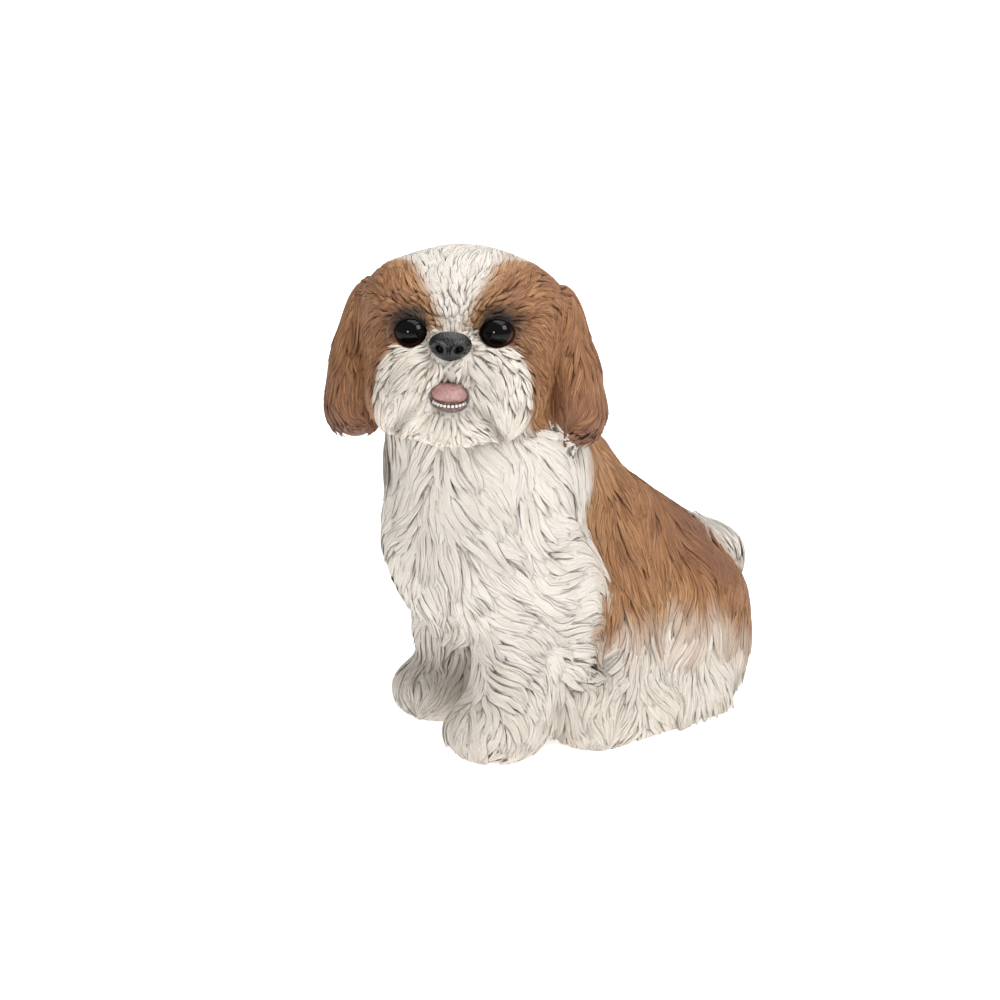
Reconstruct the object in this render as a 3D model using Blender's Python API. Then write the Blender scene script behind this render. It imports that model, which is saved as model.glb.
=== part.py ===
"""A sitting shih tzu as a painted cast-resin statue with set-in glass eyes.

Metres, +Z up. The body points along -Y, +X is the dog's left, and the head is turned to its left.
The origin is under the middle of the statue's box, on the plane that it stands on.
"""

import math

import bpy
import numpy as np
from mathutils import Matrix, Vector

# Driving size
STATUE_LENGTH = 0.280  # metres from the nose to the tail, which everything is scaled to in the end

# Places and radii below are in centimetres
GAP = 0.035  # clear space between neighbouring nodes
SEED = 11
SCATTER = 0.22  # how far the roots of the locks are strewn about their places
SINK = 0.25  # how deep the root of a lock starts under the flesh
RING_SHARES = (0.0, 0.36, 0.74)  # where along a lock its rings stand

# How the head sits on the neck
HEAD_AT = (-0.15, -6.9, 21.15)
HEAD_TURN = 45.5
HEAD_RAISE = 12.0
HEAD_TILT = 1.5

# Features of the face, in the head's own axes, which look along -Y
EYE_RADIUS = 1.0
EYE_AT = (2.12, -3.85, 0.80)
NOSE_AT = (0.0, -5.95, 0.05)
NOSE_RADII = (1.12, 0.85, 0.80)
MOUTH_AT = (0.05, -4.9, -2.45)
MOUTH_RADII = (1.12, 2.3, 0.85)
TONGUE_AT = (0.05, -4.1, -2.24)
TONGUE_RADII = (0.88, 1.75, 0.46)
TONGUE_DROOP = 12.0
LID_RADIUS = 0.93
LID_THICKNESS = 0.13
LID_FORWARD = 0.42  # how far the ring of the lids stands in front of the middle of the eye
NOSTRIL_AT = (0.52, -6.67, -0.07)
NOSTRIL_RADII = (0.20, 0.34, 0.24)
NOSE_FLARE = 0.16  # how much wider the leather is at its top than at its middle
TEETH_AT = (0.05, -5.15, -3.02)  # middle of the arc that the lower teeth stand on
TEETH_ARC = 0.90
TEETH_HALF_ANGLE = math.radians(62)
TOOTH_COUNT = 7
TOOTH_RADII = (0.14, 0.10, 0.15)
END_TOOTH_RADII = (0.14, 0.10, 0.20)
TOOTH_RISE = 0.12
GUM_THICKNESS = 0.13
GUM_HEIGHT = 0.12
GUM_REACH = 1.3  # how far the gum runs along the arc, as a share of the row of teeth

HEAD_TRIANGLES = 800
BODY_TRIANGLES = 1500
EAR_TRIANGLES = 200
TAIL_TRIANGLES = 160

# Half thickness of a lock at its root, and how far it rises off the flesh
CROWN_BODY = (0.22, 0.20)
MOUSTACHE_BODY = (0.26, 0.32)
BEARD_BODY = (0.24, 0.20)
EAR_BODY = (0.22, 0.20)
RUFF_BODY = (0.32, 0.42)
BACK_BODY = (0.24, 0.22)
LEG_BODY = (0.20, 0.12)
TAIL_BODY = (0.24, 0.22)

# Tiers of locks, from the top down. Angles are in degrees and sizes in centimetres.
# On the head: how many, first and last azimuth, tilt, length, half width
CROWN_ROWS = (
    (4, -48, 48, 33, 3.0, 0.85),
    (4, -60, 60, 60, 3.6, 1.10),
    (2, 62, 86, 24, 3.0, 0.85),
    (2, -86, -62, 24, 3.0, 0.85),
    (4, 105, 255, 56, 4.0, 1.35),
    (4, 128, 232, 14, 3.6, 1.30),
)
MOUSTACHE_ROWS = (
    (3, 10, 46, 0, 2.6, 0.60),
    (3, 26, 74, -22, 2.8, 0.72),
    (2, 38, 66, -46, 2.0, 0.72),
)
BEARD_ROWS = ((4, 30, -50, 1.5, 0.62),)
# How many, height, length, half width, and the share of the length that follows the flesh
EAR_TIERS = ((3, 1.0, 2.8, 0.9, 1.0), (3, -1.2, 2.6, 0.95, 1.0), (3, -3.2, 1.7, 0.85, 0.75))
RUFF_TIERS = (
    (6, 16.6, 4.6, 1.05, 1.0),
    (8, 14.0, 4.6, 1.05, 1.0),
    (8, 10.3, 4.6, 1.00, 0.7),
)
# How many, place along the body, spread to each side, length, half width
BACK_TIERS = ((4, 0.6, 64, 5.0, 1.3), (5, 3.8, 80, 5.0, 1.3), (4, 7.2, 78, 4.4, 1.3))
RUMP_TIERS = ((4, 5.8, 4.4, 1.3),)
# How many, centre, first and last azimuth, tilt, length, half width
LEG_TIERS = (
    (3, (3.3, -4.6, 6.4), 0, 130, 0, 3.4, 1.0),
    (3, (3.1, -5.4, 3.8), -10, 110, 0, 2.6, 0.9),
    (4, (3.15, -6.6, 1.6), -70, 70, 10, 1.6, 0.75),
    (3, (3.6, 3.6, 5.2), 20, 130, 8, 4.2, 1.2),
    (5, (5.0, 0.9, 1.7), -20, 140, 8, 1.9, 0.85),
)
# Place along the tail, from 0 at its root over 1 at its bend to 2 at its tip, and how many
TAIL_TIERS = ((0.4, 2), (1.0, 3), (1.6, 3))
TAIL_LOCK = (3.2, 1.0)  # length and half width

COLOURS = {
    "white": ((0.80, 0.76, 0.70, 1), 0.62),
    "brown": ((0.42, 0.21, 0.09, 1), 0.60),
    "black": ((0.02, 0.02, 0.022, 1), 0.35),
    "glass": ((0.012, 0.009, 0.008, 1), 0.04),
    "pink": ((0.80, 0.42, 0.38, 1), 0.38),
    "ivory": ((0.86, 0.83, 0.74, 1), 0.30),
}


def turn(yaw=0.0, pitch=0.0, roll=0.0):
    """Rotation that rolls about Y, pitches about X and then yaws about Z, in degrees."""
    return (
        Matrix.Rotation(math.radians(yaw), 3, "Z")
        @ Matrix.Rotation(math.radians(pitch), 3, "X")
        @ Matrix.Rotation(math.radians(roll), 3, "Y")
    )


HEAD_AXES = turn(HEAD_TURN, -HEAD_RAISE, HEAD_TILT)


def head_point(place):
    return Vector(HEAD_AT) + HEAD_AXES @ Vector(place)


class Blob:
    """An ellipsoid of flesh."""

    def __init__(self, at, radii, blend=1.0, yaw=0.0, pitch=0.0, roll=0.0, on_head=False):
        axes = turn(yaw, pitch, roll)
        self.centre = np.array(head_point(at) if on_head else at)
        self.axes = np.array(HEAD_AXES @ axes if on_head else axes)
        self.radii = np.array(radii)
        self.blend = blend
        self.carved = False  # whether it is a hollow in the shapes before it

    def distance(self, points):
        inside = (points - self.centre) @ self.axes
        near = np.linalg.norm(inside / self.radii, axis=1)
        slope = np.linalg.norm(inside / self.radii**2, axis=1) + 1e-9
        return near * (near - 1) / slope

    def ball(self, unit):
        return (unit * self.radii) @ self.axes.T + self.centre


class Limb:
    """A capsule of flesh whose radius changes from one end to the other."""

    def __init__(self, start, end, start_radius, end_radius, blend=1.0):
        self.start, self.end = np.array(start), np.array(end)
        self.radii = (start_radius, end_radius)
        self.blend = blend
        self.carved = False

    def distance(self, points):
        along = self.end - self.start
        share = np.clip((points - self.start) @ along / (along @ along), 0, 1)
        axis_point = self.start + share[:, None] * along
        radius = self.radii[0] + (self.radii[1] - self.radii[0]) * share
        return np.linalg.norm(points - axis_point, axis=1) - radius

    def ball(self, unit):
        far = (unit @ (self.end - self.start) > 0)[:, None]
        return np.where(far, self.end + unit * self.radii[1], self.start + unit * self.radii[0])


def pair(side, at):
    """The place on the dog's left (side 1) or right (side -1)."""
    return (side * at[0], at[1], at[2])


SIDES = {"left": 1, "right": -1}
PAW_STEP = {"left": -0.55, "right": 0.9}  # the left forepaw stands a little ahead of the right


def trunk():
    """Rump, ribcage, chest and neck."""
    return [
        Blob((0, 5.5, 4.8), (5.8, 6.0, 5.3), 2.0),
        Blob((0, 1.0, 7.5), (5.5, 6.4, 5.9), 2.0, pitch=-32),
        Blob((0, -5.9, 10.8), (5.5, 4.75, 5.5), 2.0),
        Blob((0, -5.3, 15.2), (5.0, 4.65, 4.6), 2.0),
        Limb((0, -5.6, 14), (0, -6.6, 18.5), 4.6, 4.4, 1.0),
        Limb((0, -4.6, 16.8), (0, -0.7, 12.9), 2.7, 3.3, 1.5),
    ]


def legs(side):
    """Foreleg, paw and the feathering behind, then thigh, hind foot and the rump beside it."""
    sign, step = SIDES[side], PAW_STEP[side]
    return [
        Limb(pair(sign, (3.1, -5.0, 9.0)), pair(sign, (3.1, -5.7 + step, 2.6)), 2.7, 2.25),
        Blob(pair(sign, (3.15, -6.8 + step, 1.3)), (2.55, 2.8, 1.8), 0.8),
        Limb(pair(sign, (3.6, -3.3, 8.0)), pair(sign, (3.8, -3.6, 3.2)), 2.2, 1.5, 1.0),
        Blob(pair(sign, (3.9, 4.0, 4.2)), (3.1, 5.6, 4.4), 1.2),
        Limb(pair(sign, (5.0, -2.2, 1.2)), pair(sign, (5.2, 4.8, 0.9)), 2.3, 2.2, 0.8),
        Blob(pair(sign, (3.7, 6.5, 2.4)), (2.8, 3.2, 3.0), 0.8),
    ]


BODY = trunk() + legs("left") + legs("right")

TAIL_PATH = ((0, 10.6, 3.0), (-0.5, 11.6, 5.6), (-3.3, 9.0, 8.1))
TAIL = [
    Limb(TAIL_PATH[0], TAIL_PATH[1], 1.8, 1.9),
    Limb(TAIL_PATH[1], TAIL_PATH[2], 1.9, 1.4, 0.8),
]


def both_sides(at, radii, blend, roll):
    return [
        Blob(pair(sign, at), radii, blend, roll=-sign * roll, on_head=True)
        for sign in SIDES.values()
    ]


HEAD = [
    Blob((0, 0.5, 0.45), (5.45, 5.1, 4.6), 1.0, on_head=True),
    *both_sides((2.7, -0.5, 2.2), (2.2, 3.0, 1.9), 0.8, 0),
    Blob((0, -1.2, -2.2), (4.6, 3.9, 2.75), 1.0, on_head=True),
    *both_sides((2.0, -4.2, -1.95), (2.3, 2.1, 2.4), 0.6, 14),
    Blob((0, -4.7, -0.6), (1.4, 1.6, 1.3), 0.6, on_head=True),
    Blob((0, -4.45, -3.7), (2.1, 2.1, 1.25), 0.4, on_head=True),
    *both_sides((EYE_AT[0], -5.2, EYE_AT[2] + 0.05), (1.2, 1.15, 1.1), 0.35, 0),
]
for hollow in HEAD[-2:]:
    hollow.carved = True


EAR_CLOSER = {"left": 0.0, "right": 0.5}  # the right ear hangs closer to the cheek


def ear_flesh(side):
    sign, closer = SIDES[side], EAR_CLOSER[side]
    return [
        Blob(pair(sign, (5.35, 0.9, 0.4)), (1.0, 2.1, 2.8), 1.0, roll=-sign * 9, on_head=True),
        Blob(pair(sign, (5.8 - closer, 0.7, -2.35)), (1.4, 2.6, 2.5), 1.2, on_head=True),
    ]


# Planes that part the body: a point and a normal, each cut as wide as the gap
THROAT = ((0, -6.0, 16.8), (0, 0.30, 0.95))  # neck above, chest below
SHOULDER = ((0, -4.1, 1.5), (0, 0.96, -0.28))  # chest and forelegs in front
ELBOW = ((0, -6.0, 7.4), (0, -0.15, 0.99))  # forelegs below
MIDLINE = ((0, 0, 0), (1, 0, 0))
HIP_LEFT = ((2.2, 0, 0), (0.93, 0, -0.37))
HIP_RIGHT = ((-2.2, 0, 0), (-0.93, 0, -0.37))
FLOOR = ((0, 0, -GAP / 2), (0, 0, 1))

# Each part of the body is what lies on these sides of these planes
BODY_PARTS = {
    "neck": ("white", ((THROAT, 1),)),
    "chest": ("white", ((THROAT, -1), (SHOULDER, -1), (ELBOW, 1))),
    "torso": ("brown", ((THROAT, -1), (SHOULDER, 1), (HIP_LEFT, -1), (HIP_RIGHT, -1), (FLOOR, 1))),
    "foreleg_left": ("white", ((SHOULDER, -1), (ELBOW, -1), (MIDLINE, 1), (FLOOR, 1))),
    "foreleg_right": ("white", ((SHOULDER, -1), (ELBOW, -1), (MIDLINE, -1), (FLOOR, 1))),
    "hindleg_left": ("white", ((SHOULDER, 1), (HIP_LEFT, 1), (FLOOR, 1))),
    "hindleg_right": ("white", ((SHOULDER, 1), (HIP_RIGHT, 1), (FLOOR, 1))),
}


def field(flesh, points):
    """Signed distance to the flesh: each shape is blended into those before it, or out of them."""
    total = flesh[0].distance(points)
    for shape in flesh[1:]:
        sign = -1 if shape.carved else 1
        near, other = sign * total, shape.distance(points)
        share = np.clip(0.5 + 0.5 * (near - other) / shape.blend, 0, 1)
        total = sign * (near + (other - near) * share - shape.blend * share * (1 - share))
    return total


def outward(flesh, points, step=0.02):
    """Unit normals of the flesh's field."""
    slopes = [
        field(flesh, points + offset) - field(flesh, points - offset)
        for offset in np.eye(3) * step
    ]
    normals = np.stack(slopes, axis=1)
    return normals / (np.linalg.norm(normals, axis=1, keepdims=True) + 1e-12)


def settle(flesh, points, height=0.0, rounds=4):
    """Points moved along the normals until they lie at this height over the flesh."""
    for _ in range(rounds):
        points = points - outward(flesh, points) * (field(flesh, points) - height)[:, None]
    return points


# Objects and modifiers
def clear_scene():
    for thing in list(bpy.data.objects):
        bpy.data.objects.remove(thing, do_unlink=True)


def mesh_object(name, points, faces):
    mesh = bpy.data.meshes.new(name)
    mesh.from_pydata([tuple(point) for point in points], [], [tuple(face) for face in faces])
    mesh.update()
    made = bpy.data.objects.new(name, mesh)
    bpy.context.scene.collection.objects.link(made)
    return made


def apply_modifiers(thing):
    """Bakes the modifiers into the object's mesh."""
    bpy.context.view_layer.update()
    graph = bpy.context.evaluated_depsgraph_get()
    baked = bpy.data.meshes.new_from_object(thing.evaluated_get(graph))
    thing.modifiers.clear()
    old = thing.data
    thing.data = baked
    bpy.data.meshes.remove(old)
    return thing


def points_of(thing):
    points = np.empty(len(thing.data.vertices) * 3)
    thing.data.vertices.foreach_get("co", points)
    return points.reshape(-1, 3)


def unit_ball(subdivisions):
    """Points and triangles of an icosphere of radius 1."""
    bpy.ops.mesh.primitive_ico_sphere_add(subdivisions=subdivisions, radius=1.0)
    ball = bpy.context.object
    points = points_of(ball)
    faces = [tuple(polygon.vertices) for polygon in ball.data.polygons]
    bpy.data.objects.remove(ball, do_unlink=True)
    return points, faces


def triangulated(thing):
    triangulate = thing.modifiers.new("triangles", "TRIANGULATE")
    triangulate.min_vertices = 4
    return apply_modifiers(thing)


def largest_surface(thing):
    """Splits the faces into triangles and keeps only the closed surface that holds the most of them."""
    triangulated(thing)
    mesh = thing.data
    faces = [tuple(polygon.vertices) for polygon in mesh.polygons]
    face_of_loop = np.repeat(np.arange(len(faces)), [len(face) for face in faces])
    edge_of_loop = np.empty(len(mesh.loops), np.int32)
    mesh.loops.foreach_get("edge_index", edge_of_loop)
    order = np.argsort(edge_of_loop, kind="stable")
    sharing = np.bincount(edge_of_loop)[edge_of_loop[order][1:]]
    same = (edge_of_loop[order][1:] == edge_of_loop[order][:-1]) & (sharing == 2)
    here, there = face_of_loop[order][1:][same], face_of_loop[order][:-1][same]
    label = np.arange(len(faces))
    while True:
        low = np.minimum(label[here], label[there])
        new = label.copy()
        np.minimum.at(new, here, low)
        np.minimum.at(new, there, low)
        new = new[new]
        if (new == label).all():
            break
        label = new
    names, sizes = np.unique(label, return_counts=True)
    if len(names) == 1:
        return thing
    kept_faces = [faces[index] for index in np.flatnonzero(label == names[sizes.argmax()])]
    used = sorted({vertex for face in kept_faces for vertex in face})
    new_index = {vertex: index for index, vertex in enumerate(used)}
    points = points_of(thing)[used]
    name, materials = thing.name, list(mesh.materials)
    bpy.data.objects.remove(thing, do_unlink=True)
    kept = mesh_object(name, points, [[new_index[v] for v in face] for face in kept_faces])
    for material in materials:
        kept.data.materials.append(material)
    return kept


def combine(thing, others, operation):
    """One Boolean of the object with all the others, which are then removed."""
    if not others:
        return thing
    tools = bpy.data.collections.new("tools")
    bpy.context.scene.collection.children.link(tools)
    for other in others:
        tools.objects.link(other)
    boolean = thing.modifiers.new("join", "BOOLEAN")
    boolean.operation = operation
    boolean.operand_type = "COLLECTION"
    boolean.collection = tools
    boolean.solver = "MANIFOLD"
    apply_modifiers(thing)
    for other in others:
        bpy.data.objects.remove(other, do_unlink=True)
    bpy.data.collections.remove(tools)
    return thing


def shell_of(thing, clear=GAP):
    """Points, moved out along their normals, and faces: the space that the closed piece is given."""
    normals = np.empty(len(thing.data.vertices) * 3)
    thing.data.vertices.foreach_get("normal", normals)
    faces = [tuple(polygon.vertices) for polygon in thing.data.polygons]
    return points_of(thing) + normals.reshape(-1, 3) * clear, faces


def shells_of(things):
    """The spaces of several pieces, in which a row of teeth is given twice the room."""
    return [shell_of(thing, GAP * (2 if thing.name == "lower_teeth" else 1)) for thing in things]


def cutters(shells):
    return [mesh_object("cutter", points, faces) for points, faces in shells]


def flesh_object(name, flesh, voxel, triangles):
    """Closed mesh of a group of shapes: balls remeshed as one, slid onto the blended field, thinned."""
    unit, faces = unit_ball(4)
    all_points, all_faces = [], []
    for shape in (shape for shape in flesh if not shape.carved):
        base = len(all_points) * len(unit)
        all_points.append(shape.ball(unit))
        all_faces.extend(tuple(v + base for v in face) for face in faces)
    thing = mesh_object(name, np.concatenate(all_points), all_faces)
    remesh = thing.modifiers.new("remesh", "REMESH")
    remesh.mode = "VOXEL"
    remesh.voxel_size = voxel
    apply_modifiers(thing)
    thing.data.vertices.foreach_set("co", settle(flesh, points_of(thing)).ravel())
    thing.data.update()
    triangulated(thing)
    decimate = thing.modifiers.new("thin", "DECIMATE")
    decimate.ratio = triangles / len(thing.data.polygons)
    apply_modifiers(thing)
    return largest_surface(thing)


# Locks of the coat
def marched(flesh, centre, directions, reach=14.0):
    """Where rays that come in towards the centre first meet the flesh."""
    travel = np.full(len(directions), reach)
    for _ in range(40):
        points = centre + directions * travel[:, None]
        travel = travel - 0.9 * field(flesh, points)
    return centre + directions * travel[:, None]


def locks(flesh, roots, lie, length, width, body, free=1.0):
    """Flat tapered locks that start in the flesh, bend along the lie and rise towards their tips.

    Each ring is a low diamond: two edges that hug the flesh, a ridge, and a keel inside the flesh.
    Past the share of the length called free, the lock leaves the flesh and hangs.
    """
    count = len(roots)
    thick, lift = body
    size = CHANCE.uniform(0.85, 1.15, (count, 1))
    sway = CHANCE.normal(0, 0.16, (count, 1))
    curl = CHANCE.normal(0, 0.16, (count, 1))
    steps = len(RING_SHARES)
    points = settle(flesh, roots + CHANCE.normal(0, SCATTER, roots.shape))
    rings = []
    previous = 0.0
    for index, share in enumerate((*RING_SHARES, 1.0)):
        normal = outward(flesh, points)
        wanted = lie(points)
        across = np.cross(normal, wanted)
        wanted = wanted + across * (sway + curl * index)
        wanted = wanted - normal * np.sum(wanted * normal, axis=1, keepdims=True)
        wanted = wanted / (np.linalg.norm(wanted, axis=1, keepdims=True) + 1e-9)
        if previous >= free:
            wanted = way
        way = wanted
        moved = points + way * size * length * (share - previous)
        points = moved if share > free else settle(flesh, moved, rounds=2)
        height = -SINK + (SINK + lift) * min(1.0, 2.6 * share)
        previous = share
        centre = points + normal * height
        side = np.cross(normal, way)
        if index == steps:
            tip = centre - normal * lift * 0.5
            break
        half = width * size * (0.55 + 1.1 * share - 1.35 * share**2)
        ridge = thick * (1 - 0.6 * share)
        edge_drop = normal * 0.6 * ridge
        rings.append(
            np.stack(
                [
                    centre + side * half - edge_drop,
                    centre + normal * ridge,
                    centre - side * half - edge_drop,
                    centre - normal * (ridge + SINK * (share < free)),
                ],
                axis=1,
            )
        )
    made = []
    for lock in range(count):
        corners = np.concatenate([ring_points[lock] for ring_points in rings] + [tip[lock][None]])
        made.append(mesh_object("lock", corners, LOCK_FACES))
    return made


def lock_faces():
    """Triangles of a lock: a root cap, the sides between rings, and the tip."""
    faces = [(3, 2, 1), (3, 1, 0)]
    for base in range(0, 4 * (len(RING_SHARES) - 1), 4):
        for corner in range(4):
            following = (corner + 1) % 4
            here, there = base + corner, base + following
            faces.append((here, there, there + 4))
            faces.append((here, there + 4, here + 4))
    last, tip = 4 * (len(RING_SHARES) - 1), 4 * len(RING_SHARES)
    faces.extend((last + corner, last + (corner + 1) % 4, tip) for corner in range(4))
    return faces


LOCK_FACES = lock_faces()


CHANCE = np.random.default_rng(SEED)


def unit_rows(vectors):
    return vectors / (np.linalg.norm(vectors, axis=1, keepdims=True) + 1e-9)


def head_lie(points):
    """Away from the bridge of the nose, and more and more downwards at the sides and the back."""
    local = (points - np.array(HEAD_AT)) @ np.array(HEAD_AXES)
    away = unit_rows(local - np.array((0, -5.4, 0.9)))
    sides = np.clip((np.abs(local[:, 0]) - 2.2) / 3.0, 0, 1)
    behind = np.clip((local[:, 1] + 1.0) / 5.0, 0, 1)
    below = np.clip(-local[:, 2] / 2.0, 0, 1)
    fall = np.maximum(np.maximum(sides, behind), below)[:, None]
    local_way = away * (1 - 0.6 * fall) + np.array((0, 0.15, -1.0)) * fall
    return unit_rows(local_way @ np.array(HEAD_AXES).T)


def body_lie(points):
    """Down and back over the trunk, back off the forelegs, and outwards over the paws."""
    back = np.clip((points[:, 1] + 6.0) / 6.0, 0.05, 1)
    low = np.clip((7.5 - points[:, 2]) / 4.0, 0, 1) * (points[:, 1] < -3.0)
    outwards = np.sign(points[:, 0]) * np.clip(np.abs(points[:, 0]) / 5.0, 0, 1)
    way = np.stack([0.25 * outwards, 0.55 * back + 0.35 * low, -np.ones(len(points))], axis=1)
    return unit_rows(way)


def ear_lie(points):
    """Down the ear, spreading a little to the front and the back."""
    local = (points - np.array(HEAD_AT)) @ np.array(HEAD_AXES)
    way = np.stack([0 * local[:, 0], 0.12 * (local[:, 1] - 0.8), -np.ones(len(points))], axis=1)
    return unit_rows(way @ np.array(HEAD_AXES).T)


def tail_lie(points):
    """Along the tail from its root to its tip."""
    root, bend, tip = (np.array(place) for place in TAIL_PATH)
    rise = np.clip((points[:, 2] - root[2]) / (bend[2] - root[2]), 0, 1)[:, None]
    return unit_rows((bend - root) * (1 - rise) + (tip - bend) * rise)


def fan(count, first, last, tilt=0.0, axes=np.eye(3)):
    """Unit directions spread evenly by azimuth from -Y towards +X, all tilted up by the same angle."""
    azimuth = np.radians(np.linspace(first, last, count))
    up = math.radians(tilt)
    directions = np.stack(
        [
            np.sin(azimuth) * math.cos(up),
            -np.cos(azimuth) * math.cos(up),
            np.full(count, math.sin(up)),
        ],
        axis=1,
    )
    return directions @ np.array(axes).T


def arch(count, first, last):
    """Unit directions spread evenly over the back, from straight up towards +X."""
    roll = np.radians(np.linspace(first, last, count))
    return np.stack([np.sin(roll), np.zeros(count), np.cos(roll)], axis=1)


def head_locks():
    """Crown, temples, nape, cheeks, moustache and beard."""
    made = []
    skull = np.array(head_point((0, 0.4, 0.3)))
    for count, first, last, tilt, length, width in CROWN_ROWS:
        roots = marched(HEAD, skull, fan(count, first, last, tilt, HEAD_AXES))
        made += locks(HEAD, roots, head_lie, length, width, CROWN_BODY)
    muzzle = np.array(head_point((0, -2.6, -1.2)))
    for side in SIDES.values():
        for count, first, last, tilt, length, width in MOUSTACHE_ROWS:
            roots = marched(HEAD, muzzle, fan(count, side * first, side * last, tilt, HEAD_AXES), 8)
            made += locks(HEAD, roots, head_lie, length, width, MOUSTACHE_BODY)
    for count, spread, tilt, length, width in BEARD_ROWS:
        roots = marched(HEAD, muzzle, fan(count, -spread, spread, tilt, HEAD_AXES), 8)
        made += locks(HEAD, roots, head_lie, length, width, BEARD_BODY)
    return made


def ear_locks(side):
    """Three tiers down the outer side of the ear, the last one hanging past its lower edge."""
    made = []
    sign = SIDES[side]
    flesh = ear_flesh(side)
    for count, height, length, width, free in EAR_TIERS:
        centre = np.array(head_point(pair(sign, (5.3, 0.8, height))))
        directions = fan(count, sign * 15, sign * 165, 0, HEAD_AXES)
        roots = marched(flesh, centre, directions, 6)
        made += locks(flesh, roots, ear_lie, length, width, EAR_BODY, free)
    return made


def body_locks():
    """Ruff and chest, back and flanks, rump, then the legs."""
    made = []
    for count, height, length, width, free in RUFF_TIERS:
        shift = CHANCE.uniform(-6, 6)
        roots = marched(BODY, np.array((0, -6, height)), fan(count, shift - 100, shift + 100))
        made += locks(BODY, roots, body_lie, length, width, RUFF_BODY, free)
    for count, place, spread, length, width in BACK_TIERS:
        roots = marched(BODY, np.array((0, place, 5.5)), arch(count, -spread, spread))
        made += locks(BODY, roots, body_lie, length, width, BACK_BODY)
    for count, height, length, width in RUMP_TIERS:
        roots = marched(BODY, np.array((0, 5.5, height)), fan(count, 115, 245))
        made += locks(BODY, roots, body_lie, length, width, BACK_BODY)
    for side, sign in SIDES.items():
        step = PAW_STEP[side]
        for count, place, first, last, tilt, length, width in LEG_TIERS:
            centre = np.array(pair(sign, place)) + (0, step if place[1] < -4 else 0, 0)
            roots = marched(BODY, centre, fan(count, sign * first, sign * last, tilt), 5)
            made += locks(BODY, roots, body_lie, length, width, LEG_BODY)
    return made


def tail_locks():
    made = []
    for share, count in TAIL_TIERS:
        root, bend, tip = (np.array(place) for place in TAIL_PATH)
        place = root + (bend - root) * share if share < 1 else bend + (tip - bend) * (share - 1)
        roots = marched(TAIL, place, fan(count, 100, 300, 10), 5)
        made += locks(TAIL, roots, tail_lie, *TAIL_LOCK, TAIL_BODY, 0.8)
    return made


def ellipsoid(name, at, radii, segments=16, rings=10, axes=None):
    """A closed ellipsoid with its poles along its own Y."""
    bpy.ops.mesh.primitive_uv_sphere_add(segments=segments, ring_count=rings, radius=1.0)
    ball = bpy.context.object
    ball.name = name
    points = points_of(ball)[:, [0, 2, 1]] * np.array([1, -1, 1])
    points = points * np.array(radii)
    if axes is not None:
        points = points @ np.array(axes).T
    ball.data.vertices.foreach_set("co", (points + np.array(at)).ravel())
    ball.data.update()
    return ball


def block(name, low, high):
    """A box between two corners."""
    bpy.ops.mesh.primitive_cube_add(size=1.0)
    box = bpy.context.object
    box.name = name
    low, high = np.array(low), np.array(high)
    points = (points_of(box) + 0.5) * (high - low) + low
    box.data.vertices.foreach_set("co", points.ravel())
    box.data.update()
    return box


def ring(name, centre, axes, major, minor, around=14, section=4):
    """A closed torus about its own Y axis."""
    bpy.ops.mesh.primitive_torus_add(
        major_segments=around, minor_segments=section, major_radius=major, minor_radius=minor
    )
    torus = bpy.context.object
    torus.name = name
    points = points_of(torus)[:, [0, 2, 1]] * np.array([1, -1, 1])
    torus.data.vertices.foreach_set(
        "co", (points @ np.array(axes).T + np.array(centre)).ravel()
    )
    torus.data.update()
    return torus


def paint(thing, colour):
    """Gives the object its own material in one of the named colours."""
    base, roughness = COLOURS[colour]
    material = bpy.data.materials.new(f"{thing.name} {colour}")
    material.use_nodes = True
    shader = material.node_tree.nodes["Principled BSDF"]
    shader.inputs["Base Color"].default_value = base
    shader.inputs["Roughness"].default_value = roughness
    thing.data.materials.clear()
    thing.data.materials.append(material)


# The pieces of the face
def eye(side):
    place = head_point(pair(SIDES[side], EYE_AT))
    made = ellipsoid(f"eye_{side}", place, (EYE_RADIUS,) * 3, 14, 9, HEAD_AXES)
    paint(made, "glass")
    return made


def nose():
    """The leather: a broad rounded wedge with two nostrils cut in from the front."""
    made = ellipsoid("nose", (0, 0, 0), NOSE_RADII, 14, 8)
    points = points_of(made)
    points[:, 0] *= 1 + NOSE_FLARE * np.clip(points[:, 2] / NOSE_RADII[2], -1, 1)
    made.data.vertices.foreach_set(
        "co", (points @ np.array(HEAD_AXES).T + np.array(head_point(NOSE_AT))).ravel()
    )
    made.data.update()
    nostrils = [
        ellipsoid("nostril", head_point(pair(sign, NOSTRIL_AT)), NOSTRIL_RADII, 8, 5, HEAD_AXES)
        for sign in SIDES.values()
    ]
    combine(made, nostrils, "DIFFERENCE")
    made = largest_surface(made)
    paint(made, "black")
    return made


def tongue():
    axes = HEAD_AXES @ turn(pitch=TONGUE_DROOP)
    made = ellipsoid("tongue", head_point(TONGUE_AT), TONGUE_RADII, 12, 7, axes)
    paint(made, "pink")
    return made


def tooth(angle, radii):
    """One lower tooth at this angle along the arc."""
    place = (
        TEETH_AT[0] + TEETH_ARC * math.sin(angle),
        TEETH_AT[1] - TEETH_ARC * math.cos(angle),
        TEETH_AT[2] + TOOTH_RISE,
    )
    axes = HEAD_AXES @ turn(yaw=math.degrees(angle))
    return ellipsoid("tooth", head_point(place), radii, 5, 4, axes)


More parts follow.
